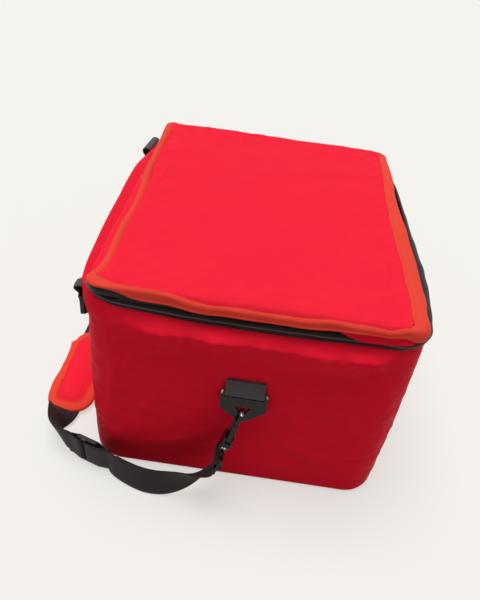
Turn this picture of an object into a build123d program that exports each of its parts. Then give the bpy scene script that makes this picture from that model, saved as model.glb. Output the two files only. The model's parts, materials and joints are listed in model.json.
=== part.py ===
"""Soft insulated vaccine carrier: a zipped fabric box with foam walls, coolant packs and a shoulder strap.

Frame: origin at the centre of the base on the ground, +Z up, the lid hinge along the -X side,
the long sides along Y.  Sizes are in millimetres.
"""
import math
import os

from build123d import *

# ---------------------------------------------------------------- driving sizes: bag body
body_width = 324.0          # between the corner points of the two long sides
body_depth = 394.0          # between the two short faces
hinge_bow = 14.0            # how far the hinge side bellies out at mid length
open_bow = 8.0              # the same on the opening side
corner_radius = 36.0        # plan radius of the four corners
rim_height = 240.0          # ground to the top of the rim facing
zip_band_height = 11.0      # rim to the top of the fabric walls, where the zip band starts
cover_thickness = 1.2       # coated nylon with its backing
base_roll = 6.0             # radius of the rolled bottom edge
shoulder_roll = 5.0         # radius of the rolled top edge of the fabric walls

# ---------------------------------------------------------------- driving sizes: insulation
foam_thickness = 18.0       # closed-cell foam in the walls
base_foam_thickness = 18.0
board_thickness = 3.0       # stiffener under the base foam
base_panel_thickness = 1.5
liner_thickness = 0.8       # foil laminate
facing_thickness = 1.0      # fabric over the top edge of the wall foam
facing_inset = 9.5          # outer edge of the facing, from the body outline
cavity_corner = 10.0

# ---------------------------------------------------------------- driving sizes: zip
tape_thickness = 1.0
coil_height = 3.0
coil_thickness = 2.6
coil_round = 1.0
coil_gap = 1.6              # between the two coils when the lid lies closed but unzipped
stop_length = 4.0
slider_length = 9.0
slider_half_width = 3.0
slider_wall = 1.4
slider_clearance = 0.3
tape_slot = 1.6             # width of the slots that the tapes run through
slider_inset = 0.3          # parked slider, from the end of the coil
pull_length = 30.0
pull_width = 9.0
pull_thickness = 1.8
pull_knuckle = 2.2          # radius round the pull's pin
pull_pin_radius = 1.0
pull_ear = 2.0              # thickness of each lug on the slider
pull_hang_gap = 0.4         # pull to the front and back walls
pull_sink = 0.8             # pin below the middle of the slider's upper half
pull_corner = 2.5
pull_hole_radius = 1.8
pull_hole_edge = 5.5        # end of the pull to the middle of its hole
lug_round = 0.3             # lugs are this much slimmer than the knuckle
pin_clearance = 0.05        # radial, in every small pivot

# ---------------------------------------------------------------- driving sizes: lid
lid_build = 18.0            # rim to the crest of the lid
lid_front_margin = 0.0      # lid edges, inwards from the straight lines of the body
lid_hinge_margin = 2.0
lid_open_margin = 10.0
lid_corner = 15.0
lid_corner_least = 4.0      # plan radius that the inner layers keep
lid_seat_gap = 0.5          # lid liner above the rim facing
lid_foam_inset = 8.0        # lower part of the lid foam, from the lid outline
lid_panel_thickness = 1.6
lid_board_thickness = 1.6
lid_liner_thickness = 0.8
panel_drop = 0.8            # top panel below the crest of the bound rim
binding_height = 10.0
binding_thickness = 3.5
binding_round = 1.4
lid_tape_inset = 1.8        # face of the lid's zip tape behind the binding's outer face
hinge_reach = 4.0           # how far the fabric hinge runs into the rounding of the corners
hinge_foot_drop = 7.0       # the hinge starts below the shoulder of the walls
hinge_neck_drop = 4.0       # and stands upright to here, below the rim, before it slopes in to the lid
hinge_foam_setback = 1.0    # the foam behind it ends short of its ends
hinge_foam_drop = 2.0
welt_radius = 1.5           # rolled fabric edge that the lid turns about
hinge_clearance = 0.3
flap_thickness = 1.2
flap_neck = 4.5             # foam top edge kept clear inside the sloping flap

# ---------------------------------------------------------------- driving sizes: strap fittings
webbing_width = 38.0
webbing_thickness = 1.6
tab_width = 40.0
ring_bar_radius = 2.5
ring_clearance = 0.3
ring_width = 48.0
ring_side = 18.0            # bar to the shoulders of the plate
ring_length = 32.0          # bar to the tip of the plate
ring_tip = 8.0              # width of the blunt tip
ring_thickness = 4.0
ring_arm = 3.6              # side arms beside the tab
ring_hole_top = 15.0        # bar to the flat top of the triangular hole
ring_hole_tip = 27.0
ring_hole_width = 17.0
ring_hole_round = 1.0
ring_slot_clearance = 0.4   # between the fold of a tab and the plate
front_ring_z = 148.0        # height of the bar on the short faces
side_ring_drop = 21.0       # rim to the bar on the hinge side
side_ring_margin = 13.0     # side rings, from the ends of the fabric hinge
ring_tilt = 14.0            # degrees that the hook holds a ring off the wall
ring_corner = 3.0
tab_sheet = 3.2             # doubled webbing of a tab
tab_sewn = 14.1             # ring bar to the sewn top of the tab

# ---------------------------------------------------------------- driving sizes: snap hook
wire_radius = 2.3
bow_radius = 6.8            # to the middle of the wire
hook_seat = 22.0            # ring bar to the wire where the hook hangs in the hole
nose_drop = 13.0            # top of the bow to the end of the nose
gate_drop = 33.0            # top of the bow to the gate's pivot
base_top = 30.0
base_length = 12.0
base_half_width = 9.6
base_half_thickness = 5.0
base_corner = 2.0
gate_half_thickness = 2.5
gate_half_depth = 2.1
gate_gap = 0.4
gate_knuckle = 2.6
gate_slot_inner = 2.4       # inner end of the gate's slot, from the hook's centre line
gate_slot_depth = 6.2
gate_pin_radius = 1.1
barrel_radius = 5.2
barrel_length = 4.0
head_top = 36.8             # pocket for the head of the swivelling eye
eye_head = 2.0
eye_head_radius = 3.0
eye_post_radius = 2.0
eye_gap = 0.4
eye_collar = 2.0
eye_bar_radius = 2.0
eye_slot = 6.0
eye_frame = 3.6
eye_width = 46.4
eye_slot_width = 39.2
eye_corner = 3.0
hook_lean = (-0.300, -0.312, -0.902)    # direction in which a hook hangs, for the front face

# ---------------------------------------------------------------- driving sizes: adjuster and pad
glide_place = (2.0, 11.0, 23.9)         # out from the corner point in X and in Y, and up
glide_heading = 162.0       # plan angle of the strap where it passes the adjuster
glide_lean = -86.0          # the adjuster stands on its edge
glide_height = 46.0
glide_thickness = 4.0
glide_slot = 7.0
glide_slot_height = 39.2
glide_bar = 5.0             # middle bar; the two end bars are glide_end wide
glide_end = 4.0
loop_clearance = 0.4        # webbing round a bar
loop_tuck = 1.2             # centre of a fold's curve, inside the edge of its bar
loop_taper = 10.0           # length over which the two sheets come together
loop_sewn = 4.0
pad_gap = 10.0              # hinge side at its widest to the pad
pad_setback = 52.0          # front face to the front end of the pad
pad_width = 62.0
pad_length = 153.0
pad_thickness = 12.0
pad_corner = 25.0
pad_edge = 9.0              # width of the bound edge
pad_edge_height = 7.0
pad_round = 3.4
pad_edge_round = 2.5
pad_web_reach = 16.0        # the webbing ends run under the pad's rounded ends
pad_web_settle = 18.0       # the webbing lies flat from here to the pad's rear end
ground_gap = 0.3

# ---------------------------------------------------------------- driving sizes: coolant packs
pack_width = 120.0
pack_headroom = 26.7        # top of a pack to the rim
pack_thickness = 34.0
pack_round = 9.0
pack_dimple_depth = 3.0
pack_dimple_round = 5.0
pack_clearance = 0.3
cap_radius = 13.0
cap_height = 9.0
cap_offset = 36.0
cap_round = 1.5

# ---------------------------------------------------------------- places worked out from the sizes
half_width = body_width / 2
half_depth = body_depth / 2
cover_top = rim_height - zip_band_height
lid_top = rim_height + lid_build
hinge_length = 2 * (half_depth - corner_radius + hinge_reach)
hinge_wall_foot = cover_top - hinge_foot_drop
hinge_wall_top = rim_height - hinge_neck_drop
side_ring_z = rim_height - side_ring_drop
side_ring_y = hinge_length / 2 - side_ring_margin
pad_centre_x = -half_width - hinge_bow - pad_gap - pad_width / 2
pad_front_y = -half_depth + pad_setback
wall_build = cover_thickness + foam_thickness + liner_thickness
cavity_half_x = half_width - wall_build
cavity_half_y = half_depth - wall_build
foam_floor = base_panel_thickness + board_thickness
liner_floor = foam_floor + base_foam_thickness
pack_floor = liner_floor + liner_thickness
pack_height = rim_height - pack_headroom - pack_floor
foam_top = rim_height - facing_thickness
shelf_z = cover_top - cover_thickness               # foam shoulder that the zip band stands on
coil_top = rim_height + lid_seat_gap
coil_bottom = coil_top - coil_height
lid_base = rim_height + lid_seat_gap
binding_bottom = lid_top - binding_height
lid_coil_bottom = coil_top + coil_gap
lid_coil_top = lid_coil_bottom + coil_height
coil_mid_inset = shoulder_roll + tape_thickness / 2
coil_y = half_depth - coil_mid_inset
lid_left = -half_width + lid_hinge_margin
lid_right = half_width - lid_open_margin
lid_front = -half_depth + lid_front_margin
slider_side = slider_half_width + slider_clearance + 0.2
lid_back = coil_y - slider_side - coil_thickness / 2 + tape_thickness / 2 + lid_tape_inset
lid_mid_x = (lid_left + lid_right) / 2
lid_mid_y = (lid_front + lid_back) / 2
lid_width = lid_right - lid_left
lid_depth = lid_back - lid_front
hinge_z = binding_bottom - welt_radius - hinge_clearance
hinge_neck_x = lid_left + welt_radius + flap_neck
bar_offset = webbing_thickness + ring_bar_radius + ring_clearance
parts_folder = "parts"
os.makedirs(parts_folder, exist_ok=True)


def save(part, label):
    """Label one finished piece and write it as its own STEP file."""
    part.label = label
    export_step(part, f"{parts_folder}/{label}.step")


def unit(vector):
    """Vector of length one."""
    return Vector(*vector).normalized()


# ================================================================ plan outlines
# The long sides belly out as arcs; the short faces are straight so that the zip runs true there.
with BuildSketch(Plane.XY) as outline:
    with BuildLine():
        Line((-half_width, -half_depth), (half_width, -half_depth))
        ThreePointArc((half_width, -half_depth), (half_width + open_bow, 0), (half_width, half_depth))
        Line((half_width, half_depth), (-half_width, half_depth))
        ThreePointArc((-half_width, half_depth), (-half_width - hinge_bow, 0), (-half_width, -half_depth))
    make_face()
    fillet(outline.vertices(), radius=corner_radius)


def inset_outline(inset):
    """Body outline moved inwards by a fixed distance."""
    with BuildSketch(Plane.XY, mode=Mode.PRIVATE) as moved:
        add(outline.sketch)
        offset(amount=-inset)
    return moved.sketch


def lid_outline(inset):
    """Rounded rectangle of the lid, moved inwards by a fixed distance."""
    with BuildSketch(Plane.XY, mode=Mode.PRIVATE) as moved:
        with Locations((lid_mid_x, lid_mid_y)):
            RectangleRounded(lid_width - 2 * inset, lid_depth - 2 * inset, lid_corner - min(inset, lid_corner - lid_corner_least))
    return moved.sketch


# ================================================================ fabric cover
with BuildPart() as core:
    with BuildSketch(Plane.XY.offset(cover_thickness)):
        add(inset_outline(cover_thickness))
    extrude(amount=shelf_z - cover_thickness)
    fillet(core.faces().sort_by(Axis.Z)[0].edges(), radius=base_roll - cover_thickness)
    fillet(core.faces().sort_by(Axis.Z)[-1].edges(), radius=shoulder_roll - cover_thickness)

with BuildPart() as cover:
    with BuildSketch(Plane.XY):
        add(outline.sketch)
    extrude(amount=cover_top)
    fillet(cover.faces().sort_by(Axis.Z)[0].edges(), radius=base_roll)
    fillet(cover.faces().sort_by(Axis.Z)[-1].edges(), radius=shoulder_roll - 0.01)
    add(core.part, mode=Mode.SUBTRACT)
    with BuildSketch(Plane.XY.offset(shelf_z - 1)):
        add(inset_outline(shoulder_roll))
    extrude(amount=2 * cover_thickness + 2, mode=Mode.SUBTRACT)
    with BuildSketch(Plane.XY.offset(-1)):
        add(inset_outline(base_roll))
    extrude(amount=cover_thickness + 2, mode=Mode.SUBTRACT)
    with BuildSketch(Plane.XY.offset(hinge_wall_foot)):
        with Locations((-body_width, 0)):
            Rectangle(2 * (body_width - cavity_half_x), hinge_length)
    extrude(amount=body_width, mode=Mode.SUBTRACT)
save(cover.part, "cover_walls")

with BuildPart() as base_panel:
    with BuildSketch(Plane.XY):
        add(inset_outline(base_roll))
    extrude(amount=base_panel_thickness)
save(base_panel.part, "base_panel")

with BuildPart() as base_board:
    with BuildSketch(Plane.XY.offset(base_panel_thickness)):
        add(inset_outline(base_roll))
    extrude(amount=board_thickness)
save(base_board.part, "base_board")

# ================================================================ foam and liner
with BuildPart() as foam_base:
    add(core.part)
    with BuildSketch(Plane.XY.offset(foam_floor)):
        Rectangle(2 * body_width, 2 * body_depth)
    extrude(amount=base_foam_thickness, mode=Mode.INTERSECT)
save(foam_base.part, "foam_base")

with BuildPart() as foam_wall:
    add(core.part)
    with BuildSketch(Plane.XY.offset(liner_floor)):
        Rectangle(2 * body_width, 2 * body_depth)
    extrude(amount=rim_height, mode=Mode.INTERSECT)
    with BuildSketch(Plane.XY.offset(shelf_z)):
        add(inset_outline(facing_inset))
        with Locations((hinge_neck_x + body_width, 0)):
            Rectangle(2 * body_width, 2 * body_depth, mode=Mode.INTERSECT)
    extrude(amount=foam_top - shelf_z)
    with BuildSketch(Plane.XY.offset(hinge_wall_foot)):
        add(inset_outline(flap_thickness))
        with Locations((-body_width, 0)):
            Rectangle(2 * (body_width - cavity_half_x), hinge_length - 2 * hinge_foam_setback, mode=Mode.INTERSECT)
    extrude(amount=hinge_wall_top - hinge_foam_drop - hinge_wall_foot)
    with BuildSketch(Plane.XY.offset(liner_floor - 1)):
        RectangleRounded(2 * (cavity_half_x + liner_thickness), 2 * (cavity_half_y + liner_thickness), cavity_corner)
    extrude(amount=rim_height, mode=Mode.SUBTRACT)

slab_y = cavity_half_y + liner_thickness
for slab, centre, span in (
    ("foam_front", (0, -slab_y - body_depth), (2 * body_width, 2 * body_depth)),
    ("foam_back", (0, slab_y + body_depth), (2 * body_width, 2 * body_depth)),
    ("foam_left", (-body_width, 0), (2 * body_width, 2 * slab_y)),
    ("foam_right", (body_width, 0), (2 * body_width, 2 * slab_y)),
):
    with BuildPart() as foam_slab:
        add(foam_wall.part)
        with BuildSketch(Plane.XY):
            with Locations(centre):
                Rectangle(*span)
        extrude(amount=2 * rim_height, mode=Mode.INTERSECT)
    save(foam_slab.part, slab)

with BuildPart() as liner:
    with BuildSketch(Plane.XY.offset(liner_floor)):
        RectangleRounded(2 * (cavity_half_x + liner_thickness), 2 * (cavity_half_y + liner_thickness), cavity_corner)
    extrude(amount=foam_top - liner_floor)
    with BuildSketch(Plane.XY.offset(liner_floor + liner_thickness)):
        RectangleRounded(2 * cavity_half_x, 2 * cavity_half_y, cavity_corner - liner_thickness)
    extrude(amount=rim_height, mode=Mode.SUBTRACT)
save(liner.part, "liner")

with BuildPart() as rim_facing:
    with BuildSketch(Plane.XY.offset(foam_top)):
        add(inset_outline(facing_inset))
        with Locations((hinge_neck_x + body_width, 0)):
            Rectangle(2 * body_width, 2 * body_depth, mode=Mode.INTERSECT)
        RectangleRounded(2 * cavity_half_x, 2 * cavity_half_y, cavity_corner - liner_thickness, mode=Mode.SUBTRACT)
    extrude(amount=facing_thickness)
save(rim_facing.part, "rim_facing")

# ================================================================ zip on the body, round three sides
zip_end_x = -(half_width - corner_radius)           # both zip ends, where the hinge side's corners begin


def zip_band(plan, outer_inset, inner_inset, bottom, top, round_radius):
    """Band that follows an outline round the front, the +X side and the back."""
    with BuildPart() as band:
        with BuildSketch(Plane.XY.offset(bottom)):
            add(plan(outer_inset))
            add(plan(inner_inset), mode=Mode.SUBTRACT)
            with Locations((zip_end_x + body_width, 0)):
                Rectangle(2 * body_width, 2 * body_depth, mode=Mode.INTERSECT)
        extrude(amount=top - bottom)
        if round_radius > 0:
            long_edges = band.edges().filter_by(Axis.Z, reverse=True).filter_by(lambda e: e.length > coil_height)
            fillet(long_edges, radius=round_radius)
    return band.part


body_tape = (shoulder_roll, shoulder_roll + tape_thickness)
save(zip_band(inset_outline, *body_tape, shelf_z, coil_bottom, 0), "zip_tape_body")
body_coil = (coil_mid_inset - coil_thickness / 2, coil_mid_inset + coil_thickness / 2)
save(zip_band(inset_outline, *body_coil, coil_bottom, coil_top, coil_round), "zip_coil_body")

with BuildPart() as end_stops:
    with BuildSketch(Plane.XY.offset(coil_bottom)):
        with Locations((zip_end_x - stop_length / 2, -coil_y), (zip_end_x - stop_length / 2, coil_y)):
            Rectangle(stop_length, coil_thickness)
    extrude(amount=coil_height)
save(end_stops.part, "zip_end_stops")

# ================================================================ fabric hinge on the -X side
half_hinge = hinge_length / 2
with BuildPart() as hinge_welt:
    with BuildSketch(Plane.XZ.offset(half_hinge)):
        with Locations((lid_left, hinge_z)):
            Circle(welt_radius)
    extrude(amount=-hinge_length)
save(hinge_welt.part, "hinge_welt")

flap_top_x = lid_left - flap_thickness / 2
with BuildSketch(Plane.XY.offset(hinge_wall_foot)) as flap_plan:
    add(outline.sketch)
    add(inset_outline(flap_thickness), mode=Mode.SUBTRACT)
    with Locations((-body_width, 0)):
        Rectangle(2 * (body_width - cavity_half_x), hinge_length, mode=Mode.INTERSECT)

with BuildPart() as hinge_flap:
    with BuildSketch(Plane.XY.offset(hinge_wall_foot)):
        add(flap_plan.sketch.moved(Location((0, 0, -hinge_wall_foot))))
    extrude(amount=hinge_wall_top - hinge_wall_foot)
    with BuildSketch(Plane.XY.offset(hinge_wall_top)) as flap_foot:
        add(flap_plan.sketch.moved(Location((0, 0, -hinge_wall_foot))))
    with BuildSketch(Plane.XY.offset(hinge_z - welt_radius)) as flap_edge:
        with Locations((flap_top_x, 0)):
            Rectangle(flap_thickness, hinge_length)
    loft(sections=[flap_foot.sketch, flap_edge.sketch], ruled=True)
save(hinge_flap.part, "hinge_flap")

# ================================================================ lid
lid_foam_bottom = lid_base + lid_liner_thickness
lid_panel_bottom = lid_top - panel_drop - lid_panel_thickness
lid_board_bottom = lid_panel_bottom - lid_board_thickness


def lid_slab(inset, bottom, top):
    """Flat layer of the lid between two heights."""
    with BuildPart() as slab:
        with BuildSketch(Plane.XY.offset(bottom)):
            add(lid_outline(inset))
        extrude(amount=top - bottom)
    return slab.part


with BuildPart() as lid_foam:
    add(lid_slab(lid_foam_inset, lid_foam_bottom, lid_board_bottom))
    add(lid_slab(binding_thickness, binding_bottom, lid_board_bottom))
save(lid_foam.part, "lid_foam")
save(lid_slab(lid_foam_inset, lid_base, lid_foam_bottom), "lid_liner")
save(lid_slab(binding_thickness, lid_board_bottom, lid_panel_bottom), "lid_board")
save(lid_slab(binding_thickness, lid_panel_bottom, lid_top - panel_drop), "lid_panel")

with BuildPart() as lid_binding:
    with BuildSketch(Plane.XY.offset(binding_bottom)):
        add(lid_outline(0))
        add(lid_outline(binding_thickness), mode=Mode.SUBTRACT)
    extrude(amount=binding_height)
    fillet(lid_binding.faces().sort_by(Axis.Z)[-1].outer_wire().edges(), radius=binding_round)
    fillet(lid_binding.faces().sort_by(Axis.Z)[0].outer_wire().edges(), radius=binding_round)
save(lid_binding.part, "lid_binding")

lid_tape = (lid_tape_inset, lid_tape_inset + tape_thickness)
lid_coil_mid = lid_tape_inset + tape_thickness / 2
lid_coil = (lid_coil_mid - coil_thickness / 2, lid_coil_mid + coil_thickness / 2)
save(zip_band(lid_outline, *lid_tape, lid_coil_top, binding_bottom, 0), "zip_tape_lid")
save(zip_band(lid_outline, *lid_coil, lid_coil_bottom, lid_coil_top, coil_round), "zip_coil_lid")

# ================================================================ zip slider and its pull
slider_x = zip_end_x + slider_inset
lower_channel = (coil_bottom - slider_clearance, coil_top + slider_clearance)
upper_channel = (lid_coil_bottom - slider_clearance, lid_coil_top + slider_clearance)
slider_bottom = lower_channel[0] - slider_wall
slider_top = upper_channel[1] + slider_wall
channel_width = coil_thickness + 2 * slider_clearance
pull_y = half_depth + pull_hang_gap + pull_thickness / 2      # the pull hangs just clear of the wall
pull_z = (lower_channel[1] + slider_top) / 2 - pull_sink
slider_mid_x = slider_x + slider_length / 2
knuckle_length = slider_length - 2 * pull_ear - 2 * slider_clearance

with BuildPart() as zip_slider:
    with BuildSketch(Plane.YZ.offset(slider_x)):
        with Locations((coil_y, (slider_bottom + slider_top) / 2)):
            Rectangle(2 * slider_half_width, slider_top - slider_bottom)
        for low, high in (lower_channel, upper_channel):
            with Locations((coil_y, (low + high) / 2)):
                Rectangle(channel_width, high - low, mode=Mode.SUBTRACT)
        for low, high in ((slider_bottom, lower_channel[0]), (upper_channel[1], slider_top)):
            with Locations((coil_y, (low + high) / 2)):
                Rectangle(tape_slot, high - low, mode=Mode.SUBTRACT)
    extrude(amount=slider_length)
    with BuildSketch(Plane.YZ.offset(slider_x)):
        with Locations((coil_y + slider_half_width - 0.5, pull_z)):
            Rectangle(1.0, 2 * (pull_knuckle - lug_round))
        with Locations((pull_y, pull_z)):
            Circle(pull_knuckle - lug_round)
        make_hull()
    extrude(amount=slider_length)
    with BuildSketch(Plane.YZ.offset(slider_x + pull_ear)):
        with Locations((pull_y, pull_z)):
            Rectangle(2 * (pull_knuckle + slider_clearance), 3 * pull_knuckle)
    extrude(amount=slider_length - 2 * pull_ear, mode=Mode.SUBTRACT)
    with BuildSketch(Plane.YZ.offset(slider_x + pull_ear / 2)):
        with Locations((pull_y, pull_z)):
            Circle(pull_pin_radius)
    extrude(amount=slider_length - pull_ear)
save(zip_slider.part, "zip_slider")

pull_neck = pull_knuckle + 0.4
with BuildPart() as zip_pull:
    with BuildSketch(Plane.XZ.offset(-pull_y - pull_thickness / 2)):
        with Locations((slider_mid_x, pull_z - pull_neck / 2 - 1)):
            Rectangle(knuckle_length, pull_neck + 2)
        with Locations((slider_mid_x, pull_z - (pull_neck + pull_length) / 2)):
            RectangleRounded(pull_width, pull_length - pull_neck, pull_corner)
        with Locations((slider_mid_x, pull_z - pull_length + pull_hole_edge)):
            Circle(pull_hole_radius, mode=Mode.SUBTRACT)
    extrude(amount=pull_thickness)
    with BuildSketch(Plane.YZ.offset(slider_mid_x - knuckle_length / 2)):
        with Locations((pull_y, pull_z)):
            Circle(pull_knuckle)
    extrude(amount=knuckle_length)
    with BuildSketch(Plane.YZ.offset(slider_mid_x - slider_length / 2)):
        with Locations((pull_y, pull_z)):
            Circle(pull_pin_radius + pin_clearance)
    extrude(amount=slider_length, mode=Mode.SUBTRACT)
save(zip_pull.part, "zip_pull")

# ================================================================ webbing tabs and ring plates
# Drawn in their own frame: x along the bar, -y outwards from the wall, z up, the bar's height at z = 0.
with BuildPart() as tab:
    with BuildSketch(Plane.YZ.offset(-tab_width / 2)):
        with Locations((-bar_offset, 0)):
            Circle(bar_offset)
        with Locations((-tab_sheet / 2, tab_sewn - 0.5)):
            Rectangle(tab_sheet, 1.0)
        make_hull()
    extrude(amount=tab_width)
    with BuildSketch(Plane.YZ.offset(-tab_width)):
        with Locations((-bar_offset, 0)):
            Circle(ring_bar_radius + ring_clearance)
    extrude(amount=2 * tab_width, mode=Mode.SUBTRACT)

ring_half = ring_width / 2
slot_depth = bar_offset + ring_slot_clearance
with BuildPart() as ring:
    with BuildSketch(Plane.XZ.offset(-ring_thickness / 2)) as ring_plate:
        with BuildLine():
            Polyline(
                (-ring_half, ring_bar_radius), (-ring_half, -ring_side), (-ring_tip / 2, -ring_length),
                (ring_tip / 2, -ring_length), (ring_half, -ring_side), (ring_half, ring_bar_radius), close=True)
        make_face()
        fillet(ring_plate.vertices(), radius=ring_corner)
        with Locations((0, (ring_bar_radius + 1 - slot_depth) / 2)):
            Rectangle(ring_width - 2 * ring_arm, ring_bar_radius + 1 + slot_depth, mode=Mode.SUBTRACT)
    extrude(amount=ring_thickness)
    with BuildSketch(Plane.XZ.offset(-ring_thickness)) as ring_hole:
        with BuildLine():
            Polyline(
                (-ring_hole_width / 2, -ring_hole_top), (ring_hole_width / 2, -ring_hole_top),
                (0, -ring_hole_tip), close=True)
        make_face()
        fillet(ring_hole.vertices(), radius=ring_hole_round)
    extrude(amount=2 * ring_thickness, mode=Mode.SUBTRACT)
    with BuildSketch(Plane.YZ.offset(-ring_half + 1)):
        Circle(ring_bar_radius)
    extrude(amount=ring_width - 2)

hinge_arc_radius = (half_depth ** 2 + hinge_bow ** 2) / (2 * hinge_bow)
wall_turn = math.degrees(math.asin(side_ring_y / hinge_arc_radius))
wall_run = math.sqrt(hinge_arc_radius ** 2 - side_ring_y ** 2)
side_wall_x = hinge_arc_radius - half_width - hinge_bow - wall_run
for name, spot, turn, tilt in (
    ("front", (0, -half_depth, front_ring_z), 0, ring_tilt),
    ("back", (0, half_depth, front_ring_z), 180, ring_tilt),
    ("left_front", (side_wall_x, -side_ring_y, side_ring_z), wall_turn - 90, 0),
    ("left_back", (side_wall_x, side_ring_y, side_ring_z), -wall_turn - 90, 0),
):
    place = Location(spot, (0, 0, turn))
    save(tab.part.moved(place), f"ring_tab_{name}")
    save(ring.part.moved(place * Location((0, -bar_offset, 0), (-tilt, 0, 0))), f"ring_{name}")

# ================================================================ snap hook of the front ring
# hook_plane: origin at the top of the wire bow, x outwards from the bag, -y down the hook.
lean = math.radians(ring_tilt)
ring_down = Vector(0, -math.sin(lean), -math.cos(lean))
hook_origin = Vector(0, -half_depth - bar_offset, front_ring_z) + ring_down * hook_seat
hook_down = unit(hook_lean)
ring_out = Vector(0, -math.cos(lean), math.sin(lean))
hook_out = (ring_out - hook_down * ring_out.dot(hook_down)).normalized()
hook_plane = Plane(origin=hook_origin, x_dir=hook_out, z_dir=hook_down.cross(hook_out))


def down_hook(distance):
    """Plane square to the hook, at a distance below the top of its bow."""
    return Plane(origin=hook_origin + hook_down * distance, x_dir=hook_out, z_dir=hook_down)


barrel_top = base_top + base_length
collar_top = barrel_top + barrel_length + eye_gap
eye_top = collar_top + eye_collar
eye_height = eye_frame + eye_slot + 2 * eye_bar_radius
eye_bar_drop = eye_top + eye_height - eye_bar_radius
with BuildPart() as hook_body:
    with BuildLine(hook_plane):
        Line((-bow_radius, -base_top - 1), (-bow_radius, -bow_radius))
        ThreePointArc((-bow_radius, -bow_radius), (0, 0), (bow_radius, -bow_radius))
        Line((bow_radius, -bow_radius), (bow_radius, -nose_drop))
    with BuildSketch(Plane(origin=hook_plane.from_local_coords((-bow_radius, -base_top - 1)), z_dir=-hook_down)):
        Circle(wire_radius)
    sweep()
    with BuildSketch(hook_plane.offset(-base_half_thickness)):
        with Locations((0, -base_top - base_length / 2)):
            RectangleRounded(2 * base_half_width, base_length, base_corner)
    extrude(amount=2 * base_half_thickness)
    with BuildSketch(down_hook(barrel_top - 1)):
        Circle(barrel_radius)
    extrude(amount=barrel_length + 1)
    with BuildSketch(hook_plane.offset(-gate_half_thickness - slider_clearance)):
        with Locations((gate_slot_inner + base_half_width / 2, -base_top - (gate_slot_depth - 1) / 2)):
            Rectangle(base_half_width, gate_slot_depth + 1)
    extrude(amount=2 * (gate_half_thickness + slider_clearance), mode=Mode.SUBTRACT)
    with BuildSketch(hook_plane.offset(-2 * base_half_thickness)):
        with Locations((bow_radius, -gate_drop)):
            Circle(gate_pin_radius + pin_clearance)
    extrude(amount=4 * base_half_thickness, mode=Mode.SUBTRACT)
    with BuildSketch(down_hook(head_top)):
        Circle(eye_head_radius + slider_clearance)
    extrude(amount=eye_head, mode=Mode.SUBTRACT)
    with BuildSketch(down_hook(head_top)):
        Circle(eye_post_radius + pin_clearance)
    extrude(amount=collar_top - head_top, mode=Mode.SUBTRACT)

with BuildPart() as hook_gate:
    with BuildSketch(hook_plane.offset(-gate_half_thickness)):
        with Locations((bow_radius, -(nose_drop + gate_gap + gate_drop) / 2)):
            Rectangle(2 * gate_half_depth, gate_drop - nose_drop - gate_gap)
        with Locations((bow_radius, -gate_drop)):
            Circle(gate_knuckle)
    extrude(amount=2 * gate_half_thickness)
    with BuildSketch(hook_plane.offset(-base_half_thickness + 0.2)):
        with Locations((bow_radius, -gate_drop)):
            Circle(gate_pin_radius)
    extrude(amount=2 * base_half_thickness - 0.4)

with BuildPart() as hook_swivel:
    with BuildSketch(down_hook(head_top + slider_clearance)):
        Circle(eye_head_radius)
    extrude(amount=eye_head - 2 * slider_clearance)
    with BuildSketch(down_hook(head_top + eye_head - slider_clearance - 0.5)):
        Circle(eye_post_radius)
    extrude(amount=collar_top - head_top - eye_head + slider_clearance + 1)
    with BuildSketch(down_hook(collar_top)):
        Circle(barrel_radius - 0.6)
    extrude(amount=eye_collar + 1)
    with BuildSketch(hook_plane.offset(-eye_bar_radius)):
        with Locations((0, -eye_top - eye_height / 2)):
            RectangleRounded(eye_width, eye_height, eye_corner)
        with Locations((0, -eye_top - eye_frame - eye_slot / 2)):
            RectangleRounded(eye_slot_width, eye_slot, 1.0, mode=Mode.SUBTRACT)
    extrude(amount=2 * eye_bar_radius)

for name, piece in (("body", hook_body), ("gate", hook_gate), ("swivel", hook_swivel)):
    save(piece.part, f"hook_front_{name}")
    save(mirror(piece.part, about=Plane.XZ), f"hook_back_{name}")

# ================================================================ strap webbing
upright = Vector(0, 0, 1)


def web_loop(place, inner, arc_centre, straight_end, tip):
    """Folded and sewn end of webbing round a bar: x of the place runs along the webbing, z across it."""
    with BuildPart() as loop:
        with BuildSketch(place.offset(-webbing_width / 2)):
            for spot in (arc_centre, straight_end):
                with Locations((spot, 0)):
                    Circle(inner + webbing_thickness)
            with Locations((tip - loop_sewn / 2, 0)):
                Rectangle(loop_sewn, 2 * webbing_thickness)
            make_hull()
        extrude(amount=webbing_width)
        with BuildSketch(place.offset(-webbing_width)):
            for spot in (arc_centre, straight_end):
                with Locations((spot, 0)):
                    Circle(inner)
            with Locations((tip - loop_sewn, 0)):
                Circle(0.2)
            make_hull()
        extrude(amount=2 * webbing_width, mode=Mode.SUBTRACT)
    return loop.part


def web_places(route):
    """Cross-section planes along a hand-laid route of (x, y, z, lean of the webbing's inner edge)."""
    points = [Vector(x, y, z) for x, y, z, _ in route]
    ends = [points[0]] + points + [points[-1]]
    places = []
    for before, point, after, station in zip(ends, points, ends[2:], route):
        run = (after - before).normalized()
        inward = run.cross(upright).normalized()
        turn = math.radians(station[3])
        across = inward * math.cos(turn) + upright * math.sin(turn)
        places.append(Plane(origin=point, x_dir=across - run * across.dot(run), z_dir=run))
    return places


def ribbon(places):
    """Flat webbing through a row of cross-sections."""
    with BuildPart() as web:
        for place in places:
            with BuildSketch(place):
                Rectangle(webbing_width, webbing_thickness)
        loft(ruled=True)
    return web.part


def pad_plan(inset):
    """Plan of the shoulder pad, moved inwards by a fixed distance."""
    with BuildSketch(Plane.XY, mode=Mode.PRIVATE) as plan:
        with Locations((pad_centre_x, pad_front_y + pad_length / 2)):
            RectangleRounded(pad_width - 2 * inset, pad_length - 2 * inset, pad_corner - inset)
    return plan.sketch


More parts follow.
